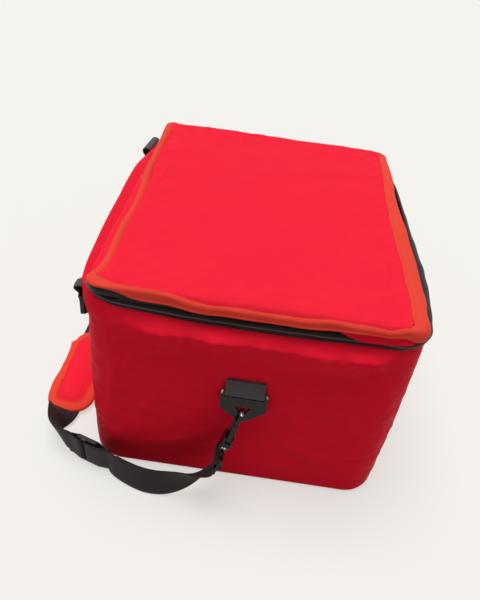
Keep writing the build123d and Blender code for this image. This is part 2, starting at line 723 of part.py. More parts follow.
hook_loop_inner = math.hypot(eye_bar_radius, eye_bar_radius) + 0.3
hook_loop_tip = hook_loop_inner + loop_taper + loop_sewn
web_start = eye_bar_drop + hook_loop_tip - loop_sewn / 2
hook_loop_place = Plane(origin=hook_origin + hook_down * eye_bar_drop, x_dir=hook_down, z_dir=-hook_out)
hook_loop = web_loop(hook_loop_place, hook_loop_inner, 0, 0, hook_loop_tip)
web_start_place = Plane(origin=hook_origin + hook_down * web_start, x_dir=-hook_out, z_dir=hook_down)

glide_run = Vector(math.cos(math.radians(glide_heading)), math.sin(math.radians(glide_heading)), 0)
glide_turn = math.radians(glide_lean)
glide_across = glide_run.cross(upright) * math.cos(glide_turn) + upright * math.sin(glide_turn)
glide_centre = Vector(-half_width - glide_place[0], -half_depth - glide_place[1], glide_place[2])
glide_length = glide_bar + 2 * glide_slot + 2 * glide_end
loop_inner = glide_thickness / 2 + loop_clearance
glide_loop_tip = glide_length / 2 + loop_taper + loop_sewn
near_place = Plane(origin=glide_centre, x_dir=-glide_run, z_dir=glide_across)
far_place = Plane(origin=glide_centre, x_dir=glide_run, z_dir=glide_across)
near_loop = web_loop(near_place, loop_inner, loop_tuck - glide_bar / 2, glide_length / 2 - loop_tuck, glide_loop_tip)
far_arc = glide_bar / 2 + glide_slot + loop_tuck
far_loop = web_loop(far_place, loop_inner, far_arc, glide_length / 2 - loop_tuck, glide_loop_tip)
web_join = glide_loop_tip - loop_sewn / 2
near_join = Plane(origin=glide_centre - glide_run * web_join, x_dir=glide_across, z_dir=glide_run)
far_join = Plane(origin=glide_centre + glide_run * web_join, x_dir=glide_across, z_dir=glide_run)

# The strap drops from the hook, stands on its edge past the front of the bag and lies down to the pad.
# Each station: X, distance out from the short face, height, lean.  X runs from the middle of the face for the
# drop and from the corner point beyond it, so that the strap keeps to the bag when the bag changes size.


def laid(stations, from_x):
    """Stations of a route as places (x, y, z, lean)."""
    return [(from_x + x, -half_depth - out, z, lean) for x, out, z, lean in stations]


drop_route = laid([
    (-28.5, 32.3, 51.5, -46), (-36, 32.3, 44, -60), (-45.5, 32.8, 36.5, -74), (-56, 34.3, 29.5, -85),
    (-67, 35.8, 24.2, -93), (-79, 37, 21.3, -97)], 0)
front_route = drop_route + laid([
    (69, 36.2, 20.2, -98), (55, 33, 19.9, -97), (40, 28, 20.6, -95), (30, 23.8, 22, -92)], -half_width)
loop_route = laid([
    (-36.5, -1.5, 21.8, -80), (-46.5, -10, 20.2, -74), (-52.8, -20.5, 19.4, -69), (-55.6, -31, 17.4, -58),
    (-56, -40, 12.4, -36), (-55.5, -47.5, 8, -14)], -half_width)
rear_route = drop_route + laid([        # laid out in front of the bag and mirrored to the back
    (57, 32.5, 20.2, -98), (30, 25, 20.2, -96), (2, 12, 20.2, -93), (-22, -7, 20.2, -88),
    (-38, -32, 19.4, -74), (-48, -62, 15.8, -48), (-53, -97, 9.8, -22), (-55, -135, 6.7, -1)], -half_width)
rear_route += [(pad_centre_x, -pad_front_y - pad_length - pad_web_settle, ground_gap + pad_thickness / 2, 0)]
pad_mid_z = ground_gap + pad_thickness / 2
pad_inner_front = Plane(origin=(pad_centre_x, pad_front_y + pad_web_reach, pad_mid_z), x_dir=(1, 0, 0), z_dir=(0, 1, 0))
pad_rear_y = pad_front_y + pad_length - pad_web_reach
pad_inner_rear = Plane(origin=(pad_centre_x, -pad_rear_y, pad_mid_z), x_dir=(1, 0, 0), z_dir=(0, 1, 0))

with BuildPart() as strap_web_front:
    add(ribbon([web_start_place] + web_places(front_route) + [near_join]))
    add(hook_loop)
    add(near_loop)
save(strap_web_front.part, "strap_web_front")

with BuildPart() as strap_web_pad:
    add(ribbon([far_join] + web_places(loop_route) + [pad_inner_front]))
    add(far_loop)
    with BuildSketch(Plane.XY):
        add(pad_plan(0))
    extrude(amount=4 * pad_thickness, mode=Mode.SUBTRACT)
save(strap_web_pad.part, "strap_web_pad")

with BuildPart() as rear_web:
    add(ribbon([web_start_place] + web_places(rear_route) + [pad_inner_rear]))
    add(hook_loop)

with BuildPart() as strap_web_back:
    add(mirror(rear_web.part, about=Plane.XZ))
    with BuildSketch(Plane.XY):
        add(pad_plan(0))
    extrude(amount=4 * pad_thickness, mode=Mode.SUBTRACT)
save(strap_web_back.part, "strap_web_back")

with BuildPart() as tri_glide:
    with BuildSketch(Plane(origin=glide_centre, x_dir=glide_run, z_dir=glide_across.cross(glide_run))):
        RectangleRounded(glide_length, glide_height, 3.0)
        slot_offset = (glide_bar + glide_slot) / 2
        with Locations((-slot_offset, 0), (slot_offset, 0)):
            RectangleRounded(glide_slot, glide_slot_height, 1.0, mode=Mode.SUBTRACT)
    extrude(amount=glide_thickness / 2, both=True)
save(tri_glide.part, "tri_glide")

# ================================================================ shoulder pad
with BuildPart() as pad_core:
    with BuildSketch(Plane.XY.offset(ground_gap)):
        add(pad_plan(pad_edge))
    extrude(amount=pad_thickness)
    fillet(pad_core.faces().sort_by(Axis.Z)[-1].edges(), radius=pad_round)
    fillet(pad_core.faces().sort_by(Axis.Z)[0].edges(), radius=pad_round)
save(pad_core.part, "pad_core")

with BuildPart() as pad_binding:
    with BuildSketch(Plane.XY.offset(pad_mid_z - pad_edge_height / 2)):
        add(pad_plan(0))
        add(pad_plan(pad_edge), mode=Mode.SUBTRACT)
    extrude(amount=pad_edge_height)
    fillet(pad_binding.faces().sort_by(Axis.Z)[-1].outer_wire().edges(), radius=pad_edge_round)
    fillet(pad_binding.faces().sort_by(Axis.Z)[0].outer_wire().edges(), radius=pad_edge_round)
save(pad_binding.part, "pad_binding")

# ================================================================ coolant packs and their caps
with BuildPart() as pack:
    with BuildSketch(Plane.XY):
        RectangleRounded(pack_width, pack_thickness, pack_round)
    extrude(amount=pack_height)
    fillet(pack.faces().sort_by(Axis.Z)[-1].edges(), radius=pack_round - 1)
    fillet(pack.faces().sort_by(Axis.Z)[0].edges(), radius=pack_round / 2)
    for side in (-1, 1):
        with BuildSketch(Plane.XZ.offset(side * pack_thickness / 2)):
            with Locations((0, pack_height / 2)):
                with GridLocations(pack_width / 3, pack_height / 4, 2, 3):
                    RectangleRounded(pack_width / 4, pack_height / 6, pack_dimple_round)
        extrude(amount=-side * pack_dimple_depth, mode=Mode.SUBTRACT)

pack_y = cavity_half_y - pack_clearance - pack_thickness / 2
pack_x = cavity_half_x - pack_clearance - pack_thickness / 2
pack_places = {
    "front": Location((0, -pack_y, pack_floor)),
    "back": Location((0, pack_y, pack_floor)),
    "left": Location((-pack_x, 0, pack_floor), (0, 0, 90)),
    "right": Location((pack_x, 0, pack_floor), (0, 0, 90)),
}
for name, place in pack_places.items():
    save(pack.part.moved(place), f"ice_pack_{name}")

with BuildPart() as caps:
    for place in pack_places.values():
        with BuildSketch(Plane(place * Location((0, 0, pack_height)))):
            with Locations((-cap_offset, 0), (cap_offset, 0)):
                Circle(cap_radius)
        extrude(amount=cap_height)
    fillet(caps.faces().filter_by(Plane.XY).group_by(Axis.Z)[-1].edges(), radius=cap_round)
save(caps.part, "ice_pack_caps")
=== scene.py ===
"""Soft zipped vaccine carrier: fabric, webbing, zip, fittings and coolant packs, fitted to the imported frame.

The frame is in metres.  Shapes are worked out in millimetres and scaled once, in add_mesh.
"""

import json
import math

import bpy
import numpy as np
from bpy.props import FloatProperty, FloatVectorProperty, PointerProperty
from mathutils import Matrix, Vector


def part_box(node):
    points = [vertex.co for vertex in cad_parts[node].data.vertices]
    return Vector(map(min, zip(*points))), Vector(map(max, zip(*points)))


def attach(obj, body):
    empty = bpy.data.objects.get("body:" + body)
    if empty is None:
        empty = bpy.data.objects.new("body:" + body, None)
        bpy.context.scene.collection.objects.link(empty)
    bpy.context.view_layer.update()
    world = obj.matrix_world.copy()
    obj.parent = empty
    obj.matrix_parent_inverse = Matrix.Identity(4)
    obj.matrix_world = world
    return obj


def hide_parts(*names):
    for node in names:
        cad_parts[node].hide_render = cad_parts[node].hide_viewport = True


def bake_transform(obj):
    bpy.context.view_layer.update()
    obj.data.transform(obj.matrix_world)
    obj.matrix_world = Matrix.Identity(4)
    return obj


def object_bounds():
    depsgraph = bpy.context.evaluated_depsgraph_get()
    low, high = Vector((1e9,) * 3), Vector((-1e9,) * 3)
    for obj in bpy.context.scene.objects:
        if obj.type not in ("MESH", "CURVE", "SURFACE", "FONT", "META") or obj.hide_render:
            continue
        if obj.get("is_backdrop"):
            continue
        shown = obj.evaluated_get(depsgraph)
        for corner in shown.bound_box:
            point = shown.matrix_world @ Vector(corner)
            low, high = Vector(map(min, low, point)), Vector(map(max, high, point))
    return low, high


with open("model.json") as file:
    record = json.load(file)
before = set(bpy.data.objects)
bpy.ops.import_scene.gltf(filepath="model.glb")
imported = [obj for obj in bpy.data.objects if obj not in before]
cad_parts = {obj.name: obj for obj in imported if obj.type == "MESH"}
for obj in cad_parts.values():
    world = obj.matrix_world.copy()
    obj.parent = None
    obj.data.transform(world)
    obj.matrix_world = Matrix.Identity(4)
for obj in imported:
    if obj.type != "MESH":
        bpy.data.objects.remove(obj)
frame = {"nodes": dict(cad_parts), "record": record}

bl_info = {
    "name": "Vaccine carrier",
    "version": (1, 0, 0),
    "blender": (4, 5, 0),
    "location": "3D View > Sidebar > Carrier",
    "description": "Dresses the packed vaccine carrier: fabric, webbing, zip, fittings and coolant packs",
    "category": "Object",
}

MM = 0.001


def box_mm(node):
    """Lowest and highest corner of a frame node, in millimetres."""
    low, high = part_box(node)
    return np.array(low) / MM, np.array(high) / MM


def linear(code):
    """A written sRGB colour as the linear one that shaders use: below 0.04045 a straight line, above it a power."""
    parts = [int(code[i:i + 2], 16) / 255 for i in (1, 3, 5)]
    return [c / 12.92 if c <= 0.04045 else ((c + 0.055) / 1.055) ** 2.4 for c in parts] + [1.0]


COVER_LOW, COVER_HIGH = box_mm("cover_walls")
LID_LOW, LID_HIGH = box_mm("lid_binding")
PAD_LOW, PAD_HIGH = box_mm("pad_binding")
LINER_LOW, LINER_HIGH = box_mm("liner")
FLAP_LOW, FLAP_HIGH = box_mm("hinge_flap")


# ---------------------------------------------------------------- settings that a user would change
def length(name, description, value):
    """A size in millimetres, shown as a length."""
    return FloatProperty(name=name, description=description, default=value * MM, unit="LENGTH", precision=4)


def colour(name, description, code):
    """A colour written as sRGB."""
    return FloatVectorProperty(name=name, description=description, default=linear(code), size=4,
                               subtype="COLOR", min=0, max=1)


class CarrierSizes(bpy.types.PropertyGroup):
    """Sizes of the soft forms that the solids leave plain."""
    wall_bulge: length("Wall bulge", "How far the padded walls belly out at mid height", 2.6)
    shoulder_puff: length("Shoulder puff", "Height of the soft roll under the zip band", 11.0)
    fold_height: length("Fold height", "Height of the creases in the wall fabric", 1.9)
    lid_puff: length("Lid puff", "How far the top panel stands above its seam", 2.4)
    coil_pitch: length("Coil pitch", "Spacing of the zip coil's turns", 2.0)
    stitch_pitch: length("Stitch pitch", "Spacing of the sewing stitches", 3.6)
    webbing_width: length("Webbing width", "Width of the strap", 38.0)
    webbing_thickness: length("Webbing thickness", "Thickness of the strap", 1.6)


class CarrierColours(bpy.types.PropertyGroup):
    """Colours of the finishes."""
    # painted light: the walls and the lid are one nylon, written darker for the walls and lighter for the lid and pad,
    # as shade and light show them
    cover: colour("Wall fabric", "Coated nylon of the walls", "#f01c34")
    top: colour("Top fabric", "Coated nylon of the lid", "#ff293f")
    binding: colour("Binding", "Folded edge tape of the lid and the pad", "#ff4a38")
    webbing: colour("Webbing", "Polypropylene strap and tabs", "#2c2223")
    tape: colour("Zip tape", "Woven polyester beside the coil", "#221b1c")
    metal: colour("Coated metal", "Black baked coating of rings and hooks", "#141112")
    foil: colour("Foil", "Laminated lining", "#c9ccd0")
    packs: colour("Packs", "Coolant pack shells", "#d9e8f2")


# ---------------------------------------------------------------- shapes
def smooth_step(value):
    """0 below 0, 1 above 1 and an S-curve of three squares less two cubes between."""
    t = np.clip(value, 0, 1)
    return t * t * (3 - 2 * t)


def unit_rows(vectors):
    """Each row divided by its own length."""
    return vectors / np.maximum(np.linalg.norm(vectors, axis=-1, keepdims=True), 1e-12)


def arc(centre, radius, start, end, count=60):
    """Points on a circle from one angle to another, and the normals, which are the radii."""
    angles = np.linspace(start, end, count)
    normals = np.stack([np.cos(angles), np.sin(angles)], 1)
    return np.array(centre) + radius * normals, normals


def joined(pieces):
    """Outline of arcs as one table: length so far, points and normals, closed on itself."""
    points = np.concatenate([p for p, _ in pieces] + [pieces[0][0][:1]])
    normals = np.concatenate([n for _, n in pieces] + [pieces[0][1][:1]])
    steps = np.linalg.norm(np.diff(points, axis=0), axis=1)
    keep = np.concatenate([[True], steps > 1e-6])
    points, normals = points[keep], normals[keep]
    along = np.concatenate([[0], np.cumsum(np.linalg.norm(np.diff(points, axis=0), axis=1))])
    return along, points, normals


def bag_outline():
    """Plan of the bag, anticlockwise from mid hinge side: two bowed sides, two straight faces, corner radius 36."""
    half_x, half_y, corner = 162.0, COVER_HIGH[1], 36.0
    left, right = -COVER_LOW[0] - half_x, COVER_HIGH[0] - half_x
    radius_l = (half_y ** 2 + left ** 2) / (2 * left)
    radius_r = (half_y ** 2 + right ** 2) / (2 * right)
    touch = half_y - corner
    turn_l, turn_r = math.asin(touch / (radius_l - corner)), math.asin(touch / (radius_r - corner))
    centre_l, centre_r = COVER_LOW[0] + radius_l, COVER_HIGH[0] - radius_r
    corner_l = centre_l - (radius_l - corner) * math.cos(turn_l)
    corner_r = centre_r + (radius_r - corner) * math.cos(turn_r)
    pi = math.pi
    return joined([
        arc((centre_l, 0), radius_l, pi, pi + turn_l), arc((corner_l, -touch), corner, pi + turn_l, 1.5 * pi),
        arc((corner_r, -touch), corner, 1.5 * pi, 2 * pi - turn_r), arc((centre_r, 0), radius_r, -turn_r, turn_r),
        arc((corner_r, touch), corner, turn_r, pi / 2), arc((corner_l, touch), corner, pi / 2, pi - turn_l),
        arc((centre_l, 0), radius_l, pi - turn_l, pi)])


def round_rectangle(low, high, corner):
    """Plan of a rectangle with round corners, anticlockwise from the middle of its -X side."""
    (x0, y0), (x1, y1), pi = low[:2], high[:2], math.pi
    middle = np.array([[x0, (y0 + y1) / 2]])
    return joined([
        (middle, np.array([[-1.0, 0.0]])),
        arc((x0 + corner, y0 + corner), corner, pi, 1.5 * pi),
        arc((x1 - corner, y0 + corner), corner, 1.5 * pi, 2 * pi),
        arc((x1 - corner, y1 - corner), corner, 0, pi / 2), arc((x0 + corner, y1 - corner), corner, pi / 2, pi)])


def on_outline(table, along):
    """Points and unit normals at these lengths along an outline, between its rows."""
    lengths, points, normals = table
    along = np.mod(along, lengths[-1])
    place = np.stack([np.interp(along, lengths, points[:, k]) for k in (0, 1)], -1)
    out = np.stack([np.interp(along, lengths, normals[:, k]) for k in (0, 1)], -1)
    return place, unit_rows(out)


def length_at(table, x, y):
    """Length along an outline at which it passes nearest to a point."""
    fine = np.linspace(0, table[0][-1], 6000)
    place, _ = on_outline(table, fine)
    return float(fine[np.argmin(np.hypot(place[:, 0] - x, place[:, 1] - y))])


def curve_through(points, per_span=10):
    """Smooth line through points: on each span the cubic whose ends have the slope of the neighbours' chord."""
    points = np.asarray(points, float)
    ends = np.concatenate([[2 * points[0] - points[1]], points, [2 * points[-1] - points[-2]]])
    t = np.linspace(0, 1, per_span, endpoint=False)[None, :, None]
    a, b, c, d = (ends[k:len(ends) - 3 + k, None, :] for k in range(4))
    spans = 0.5 * (2 * b + (c - a) * t + (2 * a - 5 * b + 4 * c - d) * t ** 2 + (3 * b - a - 3 * c + d) * t ** 3)
    return np.concatenate([spans.reshape(-1, points.shape[1]), points[-1:]])


def even(points, spacing):
    """The same line cut into steps of one length."""
    steps = np.linalg.norm(np.diff(points[:, :3], axis=0), axis=1)
    along = np.concatenate([[0], np.cumsum(steps)])
    wanted = np.linspace(0, along[-1], max(2, int(along[-1] / spacing) + 1))
    return np.stack([np.interp(wanted, along, points[:, k]) for k in range(points.shape[1])], 1)


def ripples(points, size, seed, count=12):
    """Uneven relief of about unit height: the sum of plane waves of random direction, length and phase."""
    chance = np.random.default_rng(seed)
    waves = unit_rows(chance.normal(size=(count, points.shape[-1])))
    waves *= 2 * math.pi / (size * chance.uniform(0.6, 1.7, (count, 1)))
    return np.sin(points @ waves.T + chance.uniform(0, 2 * math.pi, count)).sum(-1) / math.sqrt(count / 2)


def folds(along, height, creases, total):
    """Sum of creases; each is a ridge whose height falls as a bell curve across it and along it, and that bends."""
    relief = np.zeros(np.broadcast(along, height).shape)
    for at, level, angle, long, wide, high, bend in creases:
        run = np.mod(along - at + total / 2, total) - total / 2
        rise = height - level
        a, b = math.cos(math.radians(angle)), math.sin(math.radians(angle))
        forward = run * a + rise * b
        aside = rise * a - run * b + bend * forward ** 2
        relief += high * np.exp(-(forward / long) ** 2 - (aside / wide) ** 2)
    return relief


# ---------------------------------------------------------------- meshes
def add_mesh(name, points, faces, material, uv=None, body=None, nodes=(), slot=None, facing=None):
    """New smooth piece at the origin from points in millimetres and faces, turned outwards by its signed volume."""
    points = np.asarray(points, float).reshape(-1, 3)
    faces = [np.asarray(f) for f in faces]
    if facing is None:
        volume = sum(np.einsum("ij,ij->", points[f[:, 0]], np.cross(points[f[:, k]], points[f[:, k + 1]]))
                     for f in faces for k in range(1, f.shape[1] - 1))
        facing = 1 if volume > 0 else -1
    if facing < 0:
        faces = [f[:, ::-1] for f in faces]
        uv = None if uv is None else [w[:, ::-1] for w in uv]
    mesh = bpy.data.meshes.new(name)
    mesh.from_pydata((points * MM).tolist(), [], [row for f in faces for row in f.tolist()])
    mesh.polygons.foreach_set("use_smooth", np.ones(len(mesh.polygons), bool))
    if uv is not None:
        layer = mesh.uv_layers.new(name="cloth")
        layer.data.foreach_set("uv", (np.concatenate([w.reshape(-1, 2) for w in uv]) * MM).ravel())
    mesh.materials.append(material)
    mesh.validate()
    obj = bpy.data.objects.new(name, mesh)
    bpy.context.scene.collection.objects.link(obj)
    if nodes:
        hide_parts(*nodes)
    if body:
        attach(obj, body)
    return obj


def length_round(line):
    """Length along a closed line, from its first point back to it."""
    steps = np.diff(np.concatenate([line, line[:1]]), axis=0)
    return np.concatenate([[0], np.cumsum(np.linalg.norm(steps, axis=1))])


def net(points, close_rows=False, close_cols=False, offset=0):
    """Four-sided faces and UVs of a grid of points: length along the rows' middle line and round the section."""
    rows, cols = points.shape[:2]
    i, j = np.meshgrid(np.arange(rows - (not close_rows)), np.arange(cols - (not close_cols)), indexing="ij")
    i, j = i.ravel(), j.ravel()
    corners = [(i, j), (i + 1, j), (i + 1, j + 1), (i, j + 1)]
    faces = np.stack([offset + (a % rows) * cols + b % cols for a, b in corners], 1)
    middle = points.mean(1)
    down, round_it = length_round(middle), length_round(points[rows // 2])
    uv = np.stack([np.stack([down[a], round_it[b]], -1) for a, b in corners], 1)
    return faces, uv


def tube(name, points, material, closed=False, **more):
    """Closed skin over a row of sections, with flat ends where the row doesn't join itself."""
    faces, uv = net(points, closed, True)
    rows, cols = points.shape[:2]
    parts, maps = [faces], [uv]
    if not closed:
        for start, step in ((0, 1), ((rows - 1) * cols, -1)):
            ring = start + (np.arange(cols) if step < 0 else np.arange(cols)[::-1])
            parts.append(ring[::-1][None, :])
            maps.append(np.zeros((1, cols, 2)))
    return add_mesh(name, points, parts, material, uv=maps, **more)


def round_strip(width, thickness, count=6):
    """Section of a flat strip with rounded edges: two half circles joined by the long faces."""
    r = thickness / 2
    a = np.linspace(-math.pi / 2, math.pi / 2, count)
    right = np.stack([width / 2 - r + r * np.cos(a), r * np.sin(a)], 1)
    flat = np.stack([np.linspace(width / 2 - r, r - width / 2, 8)[1:-1], np.full(6, r)], 1)
    return np.concatenate([right, flat, -right, -flat])


def strip(name, centres, across, width, thickness, material, waves=None, **more):
    """Webbing: a flat section carried along a line, its wide way along the across vectors made square to the line."""
    run = unit_rows(np.gradient(centres, axis=0))
    across = unit_rows(across - run * (across * run).sum(1, keepdims=True))
    out = np.cross(run, across)
    section = round_strip(width, thickness)
    points = (centres[:, None] + across[:, None] * section[None, :, :1] + out[:, None] * section[None, :, 1:])
    if waves is not None:
        points = points + out[:, None] * waves[..., None]
    return tube(name, points, material, **more)


def band(table, along, profile):
    """Rows of sections that follow an outline: profile holds the inset from it and the height, for each row."""
    place, out = on_outline(table, along)
    profile = np.broadcast_to(profile, (len(along),) + profile.shape[-2:])
    plan = place[:, None] - out[:, None] * profile[..., :1]
    return np.concatenate([plan, profile[..., 1:]], -1)


def stitches(name, line, outward, pitch, material, long=2.4, thick=0.35, **more):
    """Row of sewing stitches: each is a bead of 18 faces, long along the line and half sunk in the cloth."""
    line = even(np.concatenate([line, outward], 1), pitch)
    centre, up = line[:, :3], unit_rows(line[:, 3:])
    run = unit_rows(np.gradient(centre, axis=0))
    side = np.cross(run, up)
    turn = np.linspace(0, 2 * math.pi, 6, endpoint=False)
    shape = [(x * long / 2, r * thick * math.cos(t), r * thick * math.sin(t))
             for x, r in ((-1, 0.25), (-0.6, 1), (0.6, 1), (1, 0.25)) for t in turn]
    shape = np.array(shape)
    points = (centre[:, None] + run[:, None] * shape[None, :, :1] + side[:, None] * shape[None, :, 1:2]
              + up[:, None] * shape[None, :, 2:])
    one, _ = net(shape.reshape(4, 6, 3), False, True)
    caps = np.array([np.arange(6), 18 + np.arange(6)[::-1]])
    shift = (np.arange(len(centre)) * 24)[:, None, None]
    return add_mesh(name, points, [(one[None] + shift).reshape(-1, 4), (caps[None] + shift).reshape(-1, 6)],
                    material, **more)


# ---------------------------------------------------------------- finishes
def add_node(tree, kind, values=None, links=None, **settings):
    """Add a node, set its own settings and its inputs' values, and join its inputs to other nodes."""
    new = tree.nodes.new(kind)
    for key, value in settings.items():
        setattr(new, key, value)
    for key, value in (values or {}).items():
        new.inputs[key].default_value = value
    for key, socket in (links or {}).items():
        tree.links.new(socket, new.inputs[key])
    return new


def new_finish(name, **shader):
    """Empty material with one main shader, whose plain numbers sit on its own sockets."""
    material = bpy.data.materials.new(name)
    material.use_nodes = True
    tree = material.node_tree
    tree.nodes.clear()
    main = add_node(tree, "ShaderNodeBsdfPrincipled", shader)
    add_node(tree, "ShaderNodeOutputMaterial", links={"Surface": main.outputs[0]})
    return material, tree, main


def place_of(tree, source="Object", stretch=(1, 1, 1), turn=0.0):
    """Coordinates in metres, stretched and turned about Z."""
    spot = add_node(tree, "ShaderNodeTexCoord")
    return add_node(tree, "ShaderNodeMapping", {"Scale": stretch, "Rotation": (0, 0, turn)},
                    {"Vector": spot.outputs[source]}).outputs[0]


def stripes(tree, place, period_mm, direction="X", rough=0.0):
    """Bands with one crest every period; the wave node turns once in 0.314 of a unit."""
    return add_node(tree, "ShaderNodeTexWave", {"Scale": 0.31416 / (period_mm * MM), "Distortion": rough,
                                                "Detail": 0.0}, {"Vector": place},
                    bands_direction=direction).outputs["Fac"]


def cloud(tree, place, size_mm, detail=3.0):
    """Soft noise whose patches are about this wide."""
    return add_node(tree, "ShaderNodeTexNoise", {"Scale": 1 / (size_mm * MM), "Detail": detail},
                    {"Vector": place}).outputs["Fac"]


def mixed(tree, factor, low, high):
    """Colour between two, by a factor."""
    ramp = add_node(tree, "ShaderNodeMix", links={0: factor}, data_type="RGBA")
    ramp.inputs[6].default_value, ramp.inputs[7].default_value = low, high
    return ramp.outputs[2]


def between(tree, factor, low, high):
    """Number between two, by a factor."""
    return add_node(tree, "ShaderNodeMapRange", {"To Min": low, "To Max": high}, {"Value": factor}).outputs[0]


def product(tree, a, b, operation="MULTIPLY"):
    """Two values joined by one sum."""
    return add_node(tree, "ShaderNodeMath", links={0: a, 1: b}, operation=operation).outputs[0]


def raise_surface(tree, main, *reliefs):
    """Bumps one after another; each is a height socket, its depth in millimetres and its strength."""
    normal = None
    for height, depth, strength in reliefs:
        links = {"Height": height}
        if normal is not None:
            links["Normal"] = normal
        normal = add_node(tree, "ShaderNodeBump", {"Distance": depth * MM, "Strength": strength}, links).outputs[0]
    tree.links.new(normal, main.inputs["Normal"])


def shade(base, factor):
    """A colour made darker or lighter."""
    return [min(1.0, c * factor) for c in base[:3]] + [1.0]


def coated_nylon(name, base, source, gloss=0.38):
    """Plain-weave nylon with a coated face: a satin skin, a fine thread grid and slow unevenness of the coating."""
    material, tree, main = new_finish(name, **{
        "Sheen Weight": 0.02, "Sheen Roughness": 0.4, "Specular IOR Level": 0.008})
    main.inputs["Sheen Tint"].default_value = [base[0], base[1] * 0.6, base[2] * 0.6, 1.0]
    cloth = place_of(tree, source)
    patches = cloud(tree, place_of(tree), 34, 4)
    weave = product(tree, stripes(tree, cloth, 0.55), stripes(tree, cloth, 0.55, "Y"), "MAXIMUM")
    tree.links.new(mixed(tree, patches, shade(base, 0.93), shade(base, 1.05)), main.inputs["Base Color"])
    tree.links.new(between(tree, patches, gloss - 0.05, gloss + 0.09), main.inputs["Roughness"])
    raise_surface(tree, main, (weave, 0.05, 0.35), (cloud(tree, place_of(tree), 9, 5), 0.5, 0.22))
    return material


def edge_tape(name, base):
    """Polyester binding tape: close cross ribs and dull thread."""
    material, tree, main = new_finish(name, **{
        "Roughness": 0.6, "Sheen Weight": 0.05, "Sheen Roughness": 0.4, "Specular IOR Level": 0.1})
    main.inputs["Sheen Tint"].default_value = shade(base, 1.3)
    cloth = place_of(tree, "UV")
    ribs = stripes(tree, cloth, 0.9)
    patches = cloud(tree, place_of(tree), 14, 4)
    tone = product(tree, ribs, patches)
    tree.links.new(mixed(tree, tone, shade(base, 0.84), shade(base, 1.18)), main.inputs["Base Color"])
    raise_surface(tree, main, (ribs, 0.12, 0.5), (patches, 0.5, 0.3))
    return material


def woven_band(name, base, rib, chevron, gloss):
    """Heavy webbing or zip tape: ribs of warp yarn along it and slanting picks that change side every few ribs."""
    material, tree, main = new_finish(name, **{
        "Roughness": gloss, "Sheen Weight": 0.06, "Sheen Roughness": 0.5, "Specular IOR Level": 0.16})
    main.inputs["Sheen Tint"].default_value = (0.75, 0.72, 0.75, 1)
    cloth = place_of(tree, "UV")
    ribs = stripes(tree, cloth, rib, "Y")
    slant = stripes(tree, place_of(tree, "UV", turn=math.radians(38)), chevron)
    other = stripes(tree, place_of(tree, "UV", turn=math.radians(-38)), chevron)
    side = add_node(tree, "ShaderNodeMath", links={0: stripes(tree, cloth, rib * 6, "Y")}, operation="GREATER_THAN")
    picks = add_node(tree, "ShaderNodeMix", links={0: side.outputs[0], 2: slant, 3: other}, data_type="FLOAT")
    yarn = product(tree, ribs, picks.outputs[0])
    tree.links.new(mixed(tree, yarn, shade(base, 0.72), shade(base, 1.35)), main.inputs["Base Color"])
    raise_surface(tree, main, (yarn, 0.18, 0.5), (cloud(tree, place_of(tree), 12, 3), 0.4, 0.15))
    return material


def thread(name, base):
    """Bonded polyester sewing thread: round, twisted and slightly shiny."""
    material, tree, main = new_finish(name, **{"Roughness": 0.45, "Sheen Weight": 0.2})
    twist = stripes(tree, place_of(tree, turn=0.6), 0.5)
    tree.links.new(mixed(tree, twist, shade(base, 0.75), shade(base, 1.15)), main.inputs["Base Color"])
    return material


def baked_black(name, base, glint_spots=(), reach=5.0):
    """Zinc casting under a baked black coat: glossy, a little orange peel, and painted glints where spots are given:
    bright metal patches at those spots.
    """
    material, tree, main = new_finish(name, **{
        "Specular IOR Level": 0.3, "IOR": 1.5})
    spot = place_of(tree)
    grain = cloud(tree, spot, 2.2, 6)
    # worn gathers how near each point lies to a painted glint spot
    worn = None
    for x, y, z in glint_spots:
        near = add_node(tree, "ShaderNodeVectorMath", links={0: spot}, operation="DISTANCE")
        near.inputs[1].default_value = (x * MM, y * MM, z * MM)
        close = add_node(tree, "ShaderNodeMapRange", {"From Min": reach * MM, "From Max": 0.25 * reach * MM},
                         {"Value": near.outputs["Value"]}).outputs[0]
        worn = close if worn is None else product(tree, worn, close, "MAXIMUM")
    if worn is None:
        tree.links.new(mixed(tree, grain, shade(base, 0.8), shade(base, 1.3)), main.inputs["Base Color"])
        tree.links.new(between(tree, grain, 0.2, 0.34), main.inputs["Roughness"])
    else:
        # painted glint: near the spots the black coat gives way to bright grey metal
        edge = add_node(tree, "ShaderNodeMapRange", {"From Min": 0.52, "From Max": 0.6},
                        {"Value": product(tree, product(tree, worn, grain, "ADD"),
                                          add_value(tree, 0.5), "MULTIPLY")}).outputs[0]
        tree.links.new(mixed(tree, edge, base, (0.62, 0.6, 0.58, 1)), main.inputs["Base Color"])
        tree.links.new(edge, main.inputs["Metallic"])
        tree.links.new(between(tree, edge, 0.26, 0.3), main.inputs["Roughness"])
    raise_surface(tree, main, (cloud(tree, spot, 1.6, 2), 0.08, 0.35))
    return material


def add_value(tree, number):
    """A number as a socket, for sums."""
    value = add_node(tree, "ShaderNodeValue")
    value.outputs[0].default_value = number
    return value.outputs[0]


def moulded(name, base, gloss, clear=0.0):
    """Moulded plastic: an even colour, faint cloudiness and a fine matt grain."""
    material, tree, main = new_finish(name, **{
        "Specular IOR Level": 0.45, "Subsurface Weight": clear, "Subsurface Scale": 0.004})
    grain = cloud(tree, place_of(tree), 1.1, 3)
    patches = cloud(tree, place_of(tree), 45, 2)
    tree.links.new(mixed(tree, patches, shade(base, 0.94), shade(base, 1.04)), main.inputs["Base Color"])
    tree.links.new(between(tree, grain, gloss - 0.05, gloss + 0.08), main.inputs["Roughness"])
    raise_surface(tree, main, (grain, 0.08, 0.3))
    return material


